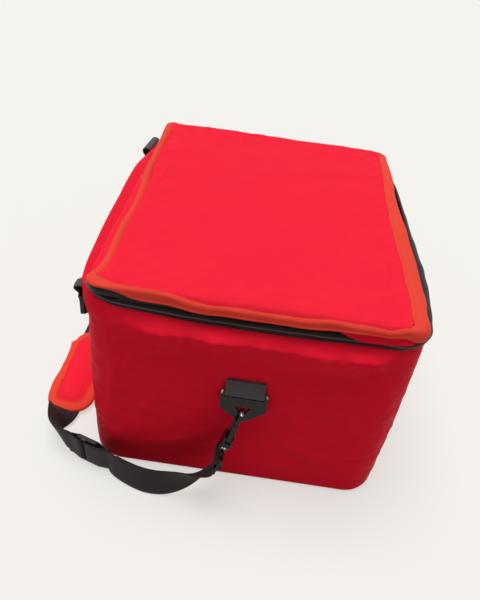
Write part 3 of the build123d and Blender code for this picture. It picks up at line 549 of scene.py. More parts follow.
def cut_foam(name, base):
    """Closed-cell polyethylene foam, cut: small round cells and a dull, chalky face."""
    material, tree, main = new_finish(name, **{"Roughness": 0.9, "Specular IOR Level": 0.2})
    cells = add_node(tree, "ShaderNodeTexVoronoi", {"Scale": 1 / (1.3 * MM)}, {"Vector": place_of(tree)}).outputs[0]
    tree.links.new(mixed(tree, cells, base, shade(base, 0.86)), main.inputs["Base Color"])
    raise_surface(tree, main, (cells, 0.3, 0.5))
    return material


def laminated_foil(name, base):
    """Aluminium foil under a clear film: bright, with flat facets between sharp creases."""
    material, tree, main = new_finish(name, **{
        "Base Color": base, "Metallic": 0.92, "Coat Weight": 0.4, "Coat Roughness": 0.15})
    spot = place_of(tree)
    facets = add_node(tree, "ShaderNodeTexVoronoi", {"Scale": 1 / (16 * MM)}, {"Vector": spot},
                      feature="F1").outputs["Distance"]
    fine = cloud(tree, spot, 6, 5)
    tree.links.new(between(tree, fine, 0.2, 0.38), main.inputs["Roughness"])
    raise_surface(tree, main, (facets, 1.2, 0.45), (fine, 0.6, 0.35))
    return material


FINISHES = {}


def finish_of(name):
    """A finish that prepare_finishes made."""
    return FINISHES[name]


class PrepareFinishes(bpy.types.Operator):
    """Make every finish and put it on the solids that stay"""
    bl_idname = "carrier.prepare_finishes"
    bl_label = "Finishes"

    def execute(self, context):
        shades = context.scene.carrier_colours
        cover, top, edge = list(shades.cover), list(shades.top), list(shades.binding)
        ring_glint_spots = glint_places()
        made = {
            "cover_fabric": coated_nylon("cover_fabric", cover, "UV"),
            # painted light: the hinge fabric is the wall nylon made 1.1 times lighter, as where that side faces the
            # light
            "hinge_fabric": coated_nylon("hinge_fabric", shade(cover, 1.1), "Object"),
            # painted light: the lid and pad take a lighter copy of the walls' nylon
            "top_fabric": coated_nylon("top_fabric", top, "Object", 0.42),
            "binding_fabric": edge_tape("binding_fabric", edge),
            "red_thread": thread("red_thread", shade(edge, 0.6)),
            "black_thread": thread("black_thread", [0.02, 0.017, 0.018, 1]),
            "webbing": woven_band("webbing", list(shades.webbing), 1.5, 2.6, 0.6),
            "tab_webbing": woven_band("tab_webbing", linear("#544d50"), 1.1, 1.5, 0.5),
            "zip_tape": woven_band("zip_tape", list(shades.tape), 0.8, 1.3, 0.55),
            "zip_coil": moulded("zip_coil", shade(list(shades.tape), 0.9), 0.3),
            # painted highlight: a lighter copy of the zip tape for the bead along the tape's fold
            "zip_bead": woven_band("zip_bead", linear("#6e6260"), 0.8, 1.3, 0.45),
            "zip_metal": baked_black("zip_metal", shade(list(shades.metal), 1.5)),
            # the rings, hooks and glide carry the painted glints
            "black_metal": baked_black("black_metal", list(shades.metal), ring_glint_spots),
            "insulation_foam": cut_foam("insulation_foam", linear("#e4e2dc")),
            "foil_liner": laminated_foil("foil_liner", list(shades.foil)),
            "stiffener": moulded("stiffener", linear("#cfccc4"), 0.6),
            "rim_fabric": coated_nylon("rim_fabric", linear("#1f1a1c"), "Object", 0.5),
            "pack_plastic": moulded("pack_plastic", list(shades.packs), 0.38, 0.25),
            "cap_plastic": moulded("cap_plastic", linear("#2f6fb4"), 0.35),
        }
        FINISHES.update(made)
        slots = {m["node"]: m["slot"] for m in frame["record"].get("materials", []) if "node" in m}
        for name, obj in frame["nodes"].items():
            wanted = slots.get(name) or slot_of(name)
            obj.data.materials.clear()
            obj.data.materials.append(made[wanted])
        return {"FINISHED"}


def slot_of(node):
    """Finish of a solid by the words in its name."""
    words = (("ice_pack_caps", "cap_plastic"), ("ice_pack", "pack_plastic"), ("foam", "insulation_foam"),
             ("liner", "foil_liner"), ("board", "stiffener"), ("zip_coil", "zip_coil"), ("zip_tape", "zip_tape"),
             ("zip_", "zip_metal"), ("tab", "webbing"), ("web", "webbing"), ("ring", "black_metal"),
             ("hook", "black_metal"), ("glide", "black_metal"), ("binding", "binding_fabric"),
             ("lid_panel", "top_fabric"), ("pad", "top_fabric"), ("hinge", "hinge_fabric"), ("", "cover_fabric"))
    return next(finish for word, finish in words if word in node)


def glint_places():
    """Spots of painted glints: the ends of each ring's bar, the eye of the hook in its hole, and the swivel."""
    spots = []
    for name, way in (("ring_front", 1), ("ring_back", -1)):
        low, high = box_mm(name)
        y = COVER_LOW[1] * way - 4 * way
        spots += [(low[0] + 1.0, y, high[2] - 2.5), (high[0] - 1.0, y, high[2] - 2.5)]
        for down, out in ((0.5, 4.0), (37.0, 6.0), (44.0, 6.0)):
            spots.append(tuple((HOOK_AT + down * HOOK_DOWN + out * HOOK_OUT) * [1, way, 1]))
    return spots


# ---------------------------------------------------------------- wall fabric
def by_station(table, along, stations):
    """Numbers eased along an outline between stations, each a place on it and its numbers."""
    at = np.array([length_at(table, *spot) for spot, _ in stations])
    at[0], at[-1] = 0, table[0][-1]
    values = np.array([value for _, value in stations], float).reshape(len(stations), -1)
    along = np.mod(along, table[0][-1])
    return np.stack([np.interp(along, at, values[:, k]) for k in range(values.shape[1])], -1)


def swell(table, along):
    """How far the filling pushes the top of the walls and the zip band out at each length, in millimetres."""
    rough = [((-176, 0), 3.4), ((-173, -100), 4.6), ((-169, -140), 5.6), ((-163, -172), 4.5), ((-150, -190), 2.0),
             ((-125, -197), 0.4), ((-98, -197), 1.0), ((-70, -197), 2.2), ((0, -197), 3.0), ((90, -197), 2.0),
             ((140, -194), 2.2), ((158, -182), 3.2), ((164, -165), 3.8), ((166, -140), 5.2), ((168, -101), 6.8),
             ((169, -65), 6.0), ((170, -26), 3.4), ((170, 17), 1.2), ((169, 65), 0.4), ((165, 150), 0.2),
             ((0, 197), 0.4), ((-125, 197), 0), ((-163, 172), 0.6), ((-169, 145), 0.6), ((-171, 122), 2.6),
             ((-174, 88), 5.8),
             ((-176, 37), 4.6), ((-176, 1), 3.4)]
    fine = np.linspace(0, table[0][-1], 400, endpoint=False)
    level = by_station(table, fine, rough)[:, 0]
    for _ in range(6):
        level = 0.5 * level + 0.25 * (np.roll(level, 1) + np.roll(level, -1))
    return np.interp(np.mod(along, table[0][-1]), np.append(fine, table[0][-1]), np.append(level, level[0]))


def rim_rise(table, along):
    """How far the upper edge of the walls climbs towards the front corners, in millimetres."""
    rises = [((-176, 0), 0), ((-171, -130), 3.0), ((-168, -150), 12.0), ((-163, -172), 13.5), ((-157, -184), 12.5),
             ((-151, -190), 11.0), ((-144, -195), 9.0), ((-138, -196.5), 6.8), ((-132, -197), 5.2), ((-124, -197), 3.8),
             ((-98, -197), 2.4), ((-72, -197), 0.8), ((-40, -197), 0), ((60, -197), 0), ((104, -197), 2.0),
             ((123, -197), 3.0), ((136, -195), 4.2), ((147, -190), 5.6), ((158, -182), 5.2), ((165, -160), 2.4),
             ((168, -118), 0.8), ((170, -40), 0), ((170, 100), 0), ((0, 197), 0), ((-176, 1), 0)]
    return by_station(table, along, rises)[:, 0]


def wall_relief(along, height, table, sizes):
    """Outward relief of the walls: a belly, a soft roll under the zip, creases, and calm places round the tabs."""
    total = table[0][-1]
    place, out = on_outline(table, along[:, 0])
    flat_side = (np.maximum(abs(out[:, 0]), abs(out[:, 1])) ** 8)[:, None]
    hinge_side = smooth_step((-out[:, 0] - 0.6) / 0.3)[:, None]
    belly = np.sin(math.pi * np.clip(height / 222, 0, 1)) ** 0.8
    relief = sizes.wall_bulge / MM * belly * (0.25 + 0.75 * flat_side)
    spots = np.stack([np.broadcast_to(along, height.shape), height], -1)
    uneven = ripples(spots, 62, 3)
    crest = height - 218.4 - 1.5 * uneven
    puff = np.exp(-(crest / np.where(crest > 0, 6.6, 24)) ** 2)
    round_corner = 1 - 0.9 * (2 * abs(out[:, 0] * out[:, 1]))[:, None]
    starting = np.where(place[:, 1] < 0, 0.25 + 0.75 * smooth_step((place[:, 0] + 126) / 34), 1.0)[:, None]
    right_side = smooth_step((place[:, 0] - 112) / 36)[:, None]
    corner = np.exp(-(np.hypot(place[:, 0] - 160, place[:, 1] + 184) / 34) ** 2)[:, None]
    starting = starting * (1 - 0.66 * right_side) * (1 - 0.9 * corner)
    relief += sizes.shoulder_puff / MM * puff * (0.8 + 0.26 * uneven) * (1 - 0.8 * hinge_side) * round_corner * starting
    relief += 0.55 * ripples(spots, 19, 8) * puff * (1 - hinge_side) * (1 - 0.7 * right_side)
    front = length_at(table, 0, COVER_LOW[1])
    listed = [
        (front - 128, 196, 62, 24, 4.0, 1.5, 0.004), (front - 118, 168, 68, 34, 5.0, 1.3, -0.003),
        (front - 136, 140, 80, 42, 4.5, 1.6, 0.002), (front - 96, 190, 40, 26, 5.0, 1.2, 0.003),
        (front - 70, 202, 18, 30, 4.0, 1.1, 0.002), (front - 30, 200, 8, 28, 4.5, 1.0, -0.002),
        (front + 40, 203, -6, 34, 4.5, 1.1, 0.002), (front + 92, 198, -14, 30, 5.0, 1.2, 0.0),
        (front - 104, 96, 74, 40, 6.0, 1.2, 0.002), (front - 60, 60, 28, 42, 6.0, 1.2, -0.002),
        (front + 70, 66, -24, 46, 7.0, 1.3, 0.002), (front + 116, 120, -72, 44, 6.0, 1.3, 0.002),
        (front + 20, 34, 4, 50, 6.0, 1.0, 0.001), (front - 140, 40, 60, 30, 5.0, 1.1, 0.0),
        (front + 136, 178, -66, 34, 5.0, 1.4, 0.0), (front + 52, 150, 30, 30, 6.0, 0.8, 0.003)]
    chance = np.random.default_rng(11)
    scattered = [(chance.uniform(front + 190, front + total - 190), chance.uniform(20, 205), chance.uniform(-80, 80),
                  chance.uniform(18, 44), chance.uniform(3.5, 7), chance.uniform(0.6, 1.5),
                  chance.uniform(-0.004, 0.004)) for _ in range(54)]
    relief += sizes.fold_height / MM / 1.5 * folds(along, height, listed + scattered, total)
    relief += 0.35 * ripples(spots, 22, 5) * belly
    calm = np.zeros(relief.shape)
    for x, y, level, wide, tall in ((0, -197, 150, 44, 38), (0, -197, 95, 46, 48), (0, 197, 150, 44, 38),
                                    (0, 197, 95, 46, 48), (-168, -152, 215, 34, 40), (-168, 152, 215, 34, 40),
                                    (-121, 197, 226, 22, 40)):
        run = np.mod(along - length_at(table, x, y) + total / 2, total) - total / 2
        calm = np.maximum(calm, np.exp(-((run / wide) ** 2 + ((height - level) / tall) ** 2) ** 2))
    return np.maximum(relief * (1 - 0.92 * calm), -0.6)


class MakeCover(bpy.types.Operator):
    """Wall fabric of the bag, from the base seam to the zip band and the fabric hinge"""
    bl_idname = "carrier.make_cover"
    bl_label = "Wall fabric"

    def execute(self, context):
        sizes = context.scene.carrier_sizes
        table = bag_outline()
        rows = 640
        along = np.linspace(0, table[0][-1], rows, endpoint=False)[:, None]
        place, out = on_outline(table, along[:, 0])
        top = COVER_HIGH[2]
        # the section is a line through (inset, height) knots; the last knots differ on the hinge side
        slope_end = (FLAP_HIGH[0] - 0.6 - place[:, 0])[:, None]
        knots = np.array([0, 0.03, 0.06, 0.09, 0.12, 0.80, 0.90, 0.925, 0.95, 0.97, 0.985, 1.0])
        plain_in = np.array([7.5, 6, 3.4, 1.0, 0, 0, 0, 0.1, 0.5, 1.6, 3.2, 5.6])
        plain_up = np.array([0.4, 0.05, 0.6, 2.8, 6, 196, top - 14, top - 9.5, top - 5.0, top - 2.0, top - 0.6,
                             top + 0.2])
        hinge_in = np.array([7.5, 6, 3.4, 1.0, 0, 0, 0, 0, 0.25, 2.0, 3.0, 5.0])
        hinge_up = np.array([0.4, 0.05, 0.6, 2.8, 6, 196, top - 6.5, top - 1, 235, 237.3, 238.5, FLAP_HIGH[2]])
        hinge_in = np.tile(hinge_in, (rows, 1))
        reach = np.array([0.0, 0.19, 0.40, 1.0])
        hinge_in[:, 8:] = 0.25 + (slope_end - 0.25) * reach
        hinge_up = np.tile(hinge_up, (rows, 1))
        hinge_up[:, 8:] = 235.4 + (FLAP_HIGH[2] - 235.4) * np.array([0.0, 0.24, 0.45, 1.0])
        on_hinge = (smooth_step((FLAP_HIGH[1] + 5 - abs(place[:, 1])) / 8) * (place[:, 0] < 0))[:, None]
        inset_knots = plain_in * (1 - on_hinge) + hinge_in * on_hinge
        height_knots = plain_up * (1 - on_hinge) + hinge_up * on_hinge
        t = np.concatenate([np.linspace(0, 0.12, 9)[:-1], np.linspace(0.12, 0.90, 86)[:-1], np.linspace(0.90, 1, 22)])
        k = np.clip(np.searchsorted(knots, t, side="right") - 1, 0, len(knots) - 2)
        w = (t - knots[k]) / (knots[k + 1] - knots[k])
        inset = inset_knots[:, k] * (1 - w) + inset_knots[:, k + 1] * w
        height = height_knots[:, k] * (1 - w) + height_knots[:, k + 1] * w
        height = height + rim_rise(table, along[:, 0])[:, None] * smooth_step((height - 190) / 36) * (1 - on_hinge)
        fade = smooth_step(height / 14) * smooth_step((top - 0.5 - height) / 4)
        relief = wall_relief(along, height, table, sizes) * fade
        right = smooth_step((place[:, :1] - 120) / 34) * (place[:, 1:] < 0)
        rolled = smooth_step((height - 196 - 18 * right) / (28 - 8 * right)) * (1 - on_hinge) * (1 - 0.95 * right)
        rolled += smooth_step((height - 226) / 8) * (1 - smooth_step((height - 237.5) / 7)) * on_hinge * 1.25
        relief = relief + swell(table, along[:, 0])[:, None] * rolled
        plan = place[:, None] + out[:, None] * (relief - inset)[..., None]
        points = np.concatenate([plan, height[..., None]], -1)
        faces, uv = net(points, close_rows=True)
        add_mesh("wall_fabric", points, [faces], finish_of("cover_fabric"), uv=[uv], body="bag", facing=1,
                 nodes=("cover_walls", "hinge_flap"), slot="cover_fabric")
        self.base(table)
        self.seams(table, place, out)
        return {"FINISHED"}

    def base(self, table):
        """Base fabric: rings of the outline drawn in towards the middle, flat on the ground."""
        along = np.linspace(0, table[0][-1], 160, endpoint=False)
        place, out = on_outline(table, along)
        rim = place - 6.2 * out
        share = np.array([1, 0.985, 0.9, 0.7, 0.5, 0.3, 0.12, 0.02])
        plan = rim[:, None] * share[None, :, None]
        height = np.broadcast_to(np.array([0.3, 0.02, 0, 0, 0, 0, 0, 0]), plan.shape[:2])
        points = np.concatenate([plan, height[..., None]], -1)
        faces, uv = net(points, close_rows=True)
        middle = (np.arange(160) * 8 + 7)[None, :]
        add_mesh("base_fabric", points, [faces, middle], finish_of("cover_fabric"),
                 uv=[uv, np.zeros((1, 160, 2))], body="bag", facing=-1, nodes=("base_panel",), slot="cover_fabric")

    def seams(self, table, place, out):
        """Thread along the base seam, sunk in the roll of the lower edge."""
        line = np.concatenate([place - 0.1 * out, np.full((len(place), 1), 12.0)], 1)
        stitches("base_seam", line[::3], np.concatenate([out, np.zeros((len(out), 1))], 1)[::3], 4.0,
                 finish_of("red_thread"), thick=0.3, body="bag", slot="cover_fabric")


# ---------------------------------------------------------------- zip
class MakeZip(bpy.types.Operator):
    """Zip tapes and wound coils of the body and the lid"""
    bl_idname = "carrier.make_zip"
    bl_label = "Zip"

    def execute(self, context):
        sizes = context.scene.carrier_sizes
        body, lid = bag_outline(), round_rectangle(LID_LOW, LID_HIGH, 15)
        end = COVER_LOW[0] + 50                      # the coils end where the hinge side's corners begin
        start, stop = length_at(body, -165, -167), length_at(body, -166, 161)
        along = np.linspace(start, stop, 520)
        wave = 0.25 * ripples(along[:, None], 45, 21)
        place, out = on_outline(body, along)
        flare = (smooth_step((place[:, 0] - 100) / 40) * smooth_step((175 - place[:, 1]) / 60))[:, None]
        pressed, flared = np.array([4.6, 3.6, 2.9, 2.8, 3.3, 4.6, 5.4]), np.array([3.0, 1.4, 0.6, 0.3, 0.8, 2.6, 4.9])
        rise = rim_rise(body, along)[:, None] * smooth_step((along - start + 4) / 16)[:, None]
        share = np.array([0, 0.14, 0.33, 0.54, 0.75, 0.92, 1.0])
        outer = np.stack([pressed * (1 - flare) + flared * flare,
                          (226.6 + rise) * (1 - share) + (238.3 + 0.45 * rise) * share], -1)
        outer[..., 0] += (wave - swell(body, along))[:, None] * np.array([1, 1, 1, 1, 1, 0.6, 0.25])
        inner = outer[:, ::-1] + np.array([0.9, -0.3])
        tube("zip_tape_lower", band(body, along, np.concatenate([outer, inner], 1)), finish_of("zip_tape"), body="bag",
             nodes=("zip_tape_body",), slot="zip_tape")
        turn = np.linspace(0, 2 * math.pi, 8, endpoint=False)
        # painted highlight: a lighter bead along the crest of the tape's fold, where a light line falls
        crest = outer[:, 3:4] * 0.45 + outer[:, 4:5] * 0.55
        bead = np.stack([0.85 * np.cos(turn), 0.75 * np.sin(turn)], 1)
        tube("zip_tape_highlight_bead", band(body, along, crest + bead), finish_of("zip_bead"), body="bag", slot="zip_tape")
        line = band(body, along, outer[:, 1:2] * 0.4 + outer[:, 2:3] * 0.6)[:, 0]
        up = np.concatenate([out, np.full((len(out), 1), 0.25)], 1)
        stitches("zip_tape_lower_seam", line, up, sizes.stitch_pitch / MM, finish_of("black_thread"),
                 thick=0.28, body="bag", slot="zip_tape")
        self.coil("zip_coil_lower", body, length_at(body, end, -197), length_at(body, end, 197), 5.5, 239.0, sizes,
                  "bag", "zip_coil_body")
        first, last = length_at(lid, end, LID_LOW[1]), length_at(lid, end, LID_HIGH[1])
        along = np.linspace(length_at(lid, -157, -192), last, 500)
        place, _ = on_outline(lid, along)
        raised = 6.4 * (1 - smooth_step((place[:, 0] + 140) / 28)) * (place[:, 1] < 0)
        shape = np.array([[1.5, 244.9], [1.4, 246.5], [1.5, 248.6], [2.6, 248.6], [2.6, 246.5], [2.6, 244.9]])
        shape = shape + raised[:, None, None] * np.array([[0, 0], [0, 0.5], [0, 1], [0, 1], [0, 0.5], [0, 0]])
        tube("zip_tape_upper", band(lid, along, shape), finish_of("zip_tape"), body="lid",
             nodes=("zip_tape_lid",), slot="zip_tape")
        self.coil("zip_coil_upper", lid, first, last, 2.3, 243.6, sizes, "lid", "zip_coil_lid")
        return {"FINISHED"}

    def coil(self, name, table, start, stop, inset, level, sizes, body, node):
        """Wound coil: a fine wire round a flattened helix; the angle turns once per pitch as the line runs on."""
        turns = int((stop - start) / (sizes.coil_pitch / MM))
        per_turn = 12
        angle = np.linspace(0, 2 * math.pi * turns, turns * per_turn + 1)
        along = np.linspace(start, stop, len(angle))
        place, out = on_outline(table, along)
        wide, tall, wire = 0.95, 1.12, 0.36
        across = wide * np.sign(np.cos(angle)) * abs(np.cos(angle)) ** 0.7
        rise = tall * np.sign(np.sin(angle)) * abs(np.sin(angle)) ** 0.7
        line = np.concatenate([place - out * (inset - across)[:, None], (level + rise)[:, None]], 1)
        run = unit_rows(np.gradient(line, axis=0))
        side = unit_rows(np.cross(run, unit_rows(np.stack([out[:, 0] * np.cos(angle), out[:, 1] * np.cos(angle),
                                                           np.sin(angle)], 1))))
        lift = np.cross(side, run)
        turn = np.linspace(0, 2 * math.pi, 5, endpoint=False)
        points = (line[:, None] + wire * (side[:, None] * np.cos(turn)[None, :, None]
                                          + lift[:, None] * np.sin(turn)[None, :, None]))
        tube(name, points, finish_of("zip_coil"), body=body, nodes=(node,), slot="zip_coil")
        core = np.linspace(start, stop, 420)
        turn = np.linspace(0, 2 * math.pi, 8, endpoint=False)
        ring = np.stack([inset + 0.8 * np.cos(turn), level + 0.95 * np.sin(turn)], 1)
        tube(name + "_cord", band(table, core, ring), finish_of("zip_tape"), body=body, slot="zip_tape")


# ---------------------------------------------------------------- lid
def lid_plan(x, y):
    """Inset of a point from the lid's outline: the distance to the round rectangle, positive inside."""
    corner = 15.0
    mid, half = (LID_LOW[:2] + LID_HIGH[:2]) / 2, (LID_HIGH[:2] - LID_LOW[:2]) / 2
    dx, dy = abs(x - mid[0]) - (half[0] - corner), abs(y - mid[1]) - (half[1] - corner)
    outside = np.hypot(np.maximum(dx, 0), np.maximum(dy, 0)) + np.minimum(np.maximum(dx, dy), 0)
    return corner - outside


def edge_sections(table, along):
    """Bound edge at each length: five (inset, height) knots of the tape and where the panel's border lies."""
    def hung(seam, level, foot):
        """Tape folded over the edge and hanging: a lit upper fold, a shaded face and a lip turned out."""
        return [(seam + 1.6, level + 0.7), (seam - 0.7, level + 0.2), (seam - 2.4, level - 2.4),
                (seam - 1.6, foot + 1.8), (seam - 2.8, foot), (seam + 0.6, level - 0.3)]

    def ridge(centre, half=4.4):
        """Tape standing as a low roll on the panel, which goes on to the hinge."""
        return [(centre + half, 257.4), (centre + 0.6 * half, 259.6), (centre, 260.7), (centre - 0.6 * half, 259.4),
                (centre - half, 256.6), (-0.4, 249.6)]

    def laid(seam, reach, foot=248.4):
        """Tape lying flat from the seam to beyond the edge, where it turns down to its foot."""
        return [(seam, 258.5), (seam * 0.45, 258.4), (-0.45 * reach, 256.6), (-reach, 0.4 * 258.4 + 0.6 * foot),
                (0.8 - reach, foot), (seam - 1.0, 257.4)]

    def over(seam, foot):
        """Tape lying on the top and turned down just over the edge."""
        return [(seam, 258.3), (seam * 0.6, 259.4), (seam * 0.2, 258.9), (-0.9, 257.2), (-0.6, foot),
                (seam - 1.2, 257.2)]

    wedge = [(9, 258.4), (5, 259.3), (1, 258.4), (-1, 254), (-1, 249.5), (0.4, 252)]
    behind = [(0.9, 255.4), (-0.8, 254.8), (-1.6, 252.5), (-1.2, 250.2), (-1.2, 248.2), (0.3, 254.4)]
    stations = [((-160, -4), ridge(11.6)), ((-160, -41), ridge(12.6)), ((-160, -85), ridge(11.6)),
                ((-160, -125), ridge(12.0)), ((-160, -160), ridge(12.4, 4.9)), ((-160, -175), ridge(10.8, 5.0)),
                ((-158, -187), over(10.5, 254.4)), ((-152, -194), over(12.5, 255.2)), ((-143, -197), over(10.8, 255.2)),
                ((-138, -197), over(8.2, 255.2)), ((-132, -197), over(6.4, 254.8)), ((-125, -197), over(4.8, 252.6)),
                ((-116, -197), hung(2.6, 258.0, 249.0)), ((-98, -197), hung(1.8, 257.2, 246.4)),
                ((-71, -197), hung(0.6, 254.8, 246.0)),
                ((-44, -197), hung(-1.4, 252.6, 245.2)), ((-16, -197), hung(-0.8, 254.2, 246.4)),
                ((11, -197), hung(-0.9, 253.4, 246.2)), ((38, -197), hung(-1.4, 253.0, 245.4)),
                ((65, -197), hung(0.0, 254.7, 246.0)), ((84, -197), hung(-0.8, 254.0, 247.0)),
                ((101, -197), hung(-0.4, 254.6, 248.6)), ((120, -197), hung(-1.2, 253.6, 248.8)),
                ((136, -197), hung(1.6, 256.6, 248.6)), ((143, -196.5), laid(6.0, 3.6, 244.4)),
                ((149, -193), laid(10.5, 6.0, 243.6)), ((152, -180), laid(12.0, 7.4, 244.2)),
                ((152, -157), laid(10.2, 6.8)),
                ((152, -125), laid(11.2, 8.2)), ((152, -91), laid(11.0, 7.6)),
                ((152, -54), laid(13.2, 6.6)), ((152, -13), laid(14.0, 4.6)), ((152, 32), laid(14.0, 1.8)),
                ((152, 84), laid(12.6, 1.2)), ((152, 141), laid(10.4, 0.8)), ((151, 178), laid(10.0, 0.6)),
                ((144, 188), [(6.0, 257.4), (3.0, 257.6), (0.4, 256.0), (-0.6, 252.5), (-0.4, 248.6), (4.0, 256.6)]),
                ((128, 189), behind), ((-128, 189), behind), ((-148, 188), wedge), ((-158, 182), wedge),
                ((-160, 160), ridge(6.8, 6.0)), ((-160, 132), ridge(7.4, 5.0)), ((-160, 105), ridge(8.2)),
                ((-160, 75), ridge(8.0)), ((-160, 44), ridge(8.2)),
                ((-160, 7), ridge(10.4)), ((-160, -3.9), ridge(11.6))]
    fine = np.linspace(0, table[0][-1], 900, endpoint=False)
    knots = by_station(table, fine, [(spot, np.array(shape).ravel()) for spot, shape in stations])
    for _ in range(3):
        knots = 0.5 * knots + 0.25 * (np.roll(knots, 1, axis=0) + np.roll(knots, -1, axis=0))
    fine, knots = np.append(fine, table[0][-1]), np.concatenate([knots, knots[:1]])
    along = np.mod(along, table[0][-1])
    eased_in = np.stack([np.interp(along, fine, knots[:, k]) for k in range(12)], -1).reshape(-1, 6, 2)
    return eased_in[:, :5], eased_in[:, 5]


def edge_wave(table, along):
    """Slow rise and fall of the bound edge, in millimetres, the same at both ends of the outline."""
    phase = 2 * math.pi * along / table[0][-1]
    circle = np.stack([np.cos(phase), np.sin(phase)], -1) * table[0][-1] / (2 * math.pi)
    return 0.75 * ripples(circle, 85, 31, 8), 0.6 * ripples(circle, 50, 37, 8)


class MakeLid(bpy.types.Operator):
    """Top panel of the lid with its bound edge and seams"""
    bl_idname = "carrier.make_lid"
    bl_label = "Lid"

    def execute(self, context):
        sizes = context.scene.carrier_sizes
        table = round_rectangle(LID_LOW, LID_HIGH, 15)
        self.panel(table, sizes)
        self.edge(table, sizes)
        return {"FINISHED"}

    def panel(self, table, sizes):
        """Top fabric: a grid on the round rectangle, drawn out or in to its border, rolled over there, slack inside."""
        corner, inset, reach = 11.5, 3.6, 30.0
        low, high = LID_LOW[:2] + inset, LID_HIGH[:2] - inset
        x, y = np.meshgrid(np.linspace(low[0], high[0], 210), np.linspace(low[1], high[1], 256), indexing="ij")
        mid, half = (low + high) / 2, (high - low) / 2
        a = np.maximum(abs(x - mid[0]) - (half[0] - corner), 0) / corner
        b = np.maximum(abs(y - mid[1]) - (half[1] - corner), 0) / corner
        x = x - np.sign(x - mid[0]) * corner * a * (1 - np.sqrt(1 - b ** 2 / 2))
        y = y - np.sign(y - mid[1]) * corner * b * (1 - np.sqrt(1 - a ** 2 / 2))
        inside = lid_plan(x, y) - inset
        along = self.nearest(table, x, y).ravel()
        knots, border = edge_sections(table, along)
        ridge, rim_up = knots[:, 2, 0].reshape(x.shape), border[:, 1].reshape(x.shape)
        plan_x, plan_y, end = x.copy(), y.copy(), 16.0
        level_y = np.clip(plan_y, LID_LOW[1] + end, LID_HIGH[1] - end)
        level_x = np.clip(plan_x, LID_LOW[0] + end, LID_HIGH[0] - end)
        for spot, way, gap in (((LID_LOW[0], 0), (1, 0), plan_x - low[0]),
                               ((LID_HIGH[0], 0), (-1, 0), high[0] - plan_x),
                               ((0, LID_LOW[1]), (0, 1), plan_y - low[1]),
                               ((0, LID_HIGH[1]), (0, -1), high[1] - plan_y)):
            run = level_x * way[1] - level_y * way[0]
            _, rim = edge_sections(table, (length_at(table, *spot) + run).ravel())
            pull = (rim[:, 0].reshape(x.shape) - inset) * (1 - smooth_step(gap / (reach - inset)) ** 0.8)
            x, y = x + way[0] * pull, y + way[1] * pull
        lift, _ = edge_wave(table, along)
        rim_up = rim_up + lift.reshape(x.shape) * 0.8
        spots = np.stack([x, y], -1)
        slack = ripples(spots, 70, 41)
        crown = 257.3 + sizes.lid_puff / MM * (0.3 + 0.42 * np.exp(-inside / 60)) * (1 + 0.28 * slack)
        roll = np.sqrt(1 - (1 - np.clip(inside / 8.5, 0, 1)) ** 2)
        z = rim_up + (crown - rim_up) * roll
        creases = [(-60, -168, 8, 34, 3.2, 0.9, 0.002), (40, -172, -6, 40, 3.0, 1.0, 0.001),
                   (112, -160, 35, 22, 3.4, 1.1, 0.003), (122, -120, 82, 30, 3.4, 0.9, -0.002),
                   (-134, -150, 70, 26, 3.0, 1.0, 0.003), (-124, -178, 28, 18, 3.0, 1.1, 0.0),
                   (-134, 20, 84, 40, 3.0, 0.8, 0.001), (-134, 150, -64, 24, 3.2, 1.1, 0.002),
                   (-118, 170, -38, 16, 3.0, 1.5, 0.002), (20, 176, 4, 40, 3.4, 0.8, 0.001),
                   (126, 40, 86, 46, 3.6, 0.8, 0.001), (118, 160, 60, 22, 3.4, 0.9, 0.0),
                   (-30, 40, 62, 80, 13, 0.9, 0.001), (50, -30, 118, 90, 15, 0.9, 0.001),
                   (-80, -60, 40, 60, 12, 0.7, 0.0), (60, 90, 20, 70, 14, 0.8, 0.001),
                   (-100, -186, 4, 20, 2.6, 1.0, 0.0), (-30, -187, 3, 22, 2.6, 1.0, 0.0),
                    (70, -188, -3, 24, 2.6, 0.9, 0.0)]
        z += smooth_step(inside / 5) * folds(x, y, creases, 1e9)
        z += smooth_step(inside / 8) * 0.4 * ripples(spots, 26, 43) * np.exp(-inside / 45)
        sewn = smooth_step((ridge - 2) / 1.6) * (x < mid[0])
        z -= 2.2 * sewn * np.exp(-((x - LID_LOW[0] - ridge) / 3.8) ** 2)
        z -= 1.7 * sewn * np.exp(-((x - LID_LOW[0] - ridge + 6.4) / 1.7) ** 2)
        over_board = (x > LID_LOW[0] + 3.2) & (x < LID_HIGH[0] - 3.2) & (y > LID_LOW[1] + 3.2) & (y < LID_HIGH[1] - 3.2)
        z = np.where(over_board, np.maximum(z, 256.3), z)
        points = np.stack([x, y, z], -1)
        faces, uv = net(points)
        add_mesh("top_panel", points, [faces], finish_of("top_fabric"), uv=[uv], body="lid", facing=1,
                 nodes=("lid_panel",), slot="top_fabric")

    def nearest(self, table, x, y):
        """Length along the lid's outline of the point of it nearest to each place, by the side it faces."""
        fine = np.linspace(0, table[0][-1], 900, endpoint=False)
        place, _ = on_outline(table, fine)
        grid = np.stack([x.ravel(), y.ravel()], 1)
        found = np.concatenate([fine[np.argmin(((part[:, None] - place[None]) ** 2).sum(-1), 1)]
                                for part in np.array_split(grid, 40)])
        return found.reshape(x.shape)

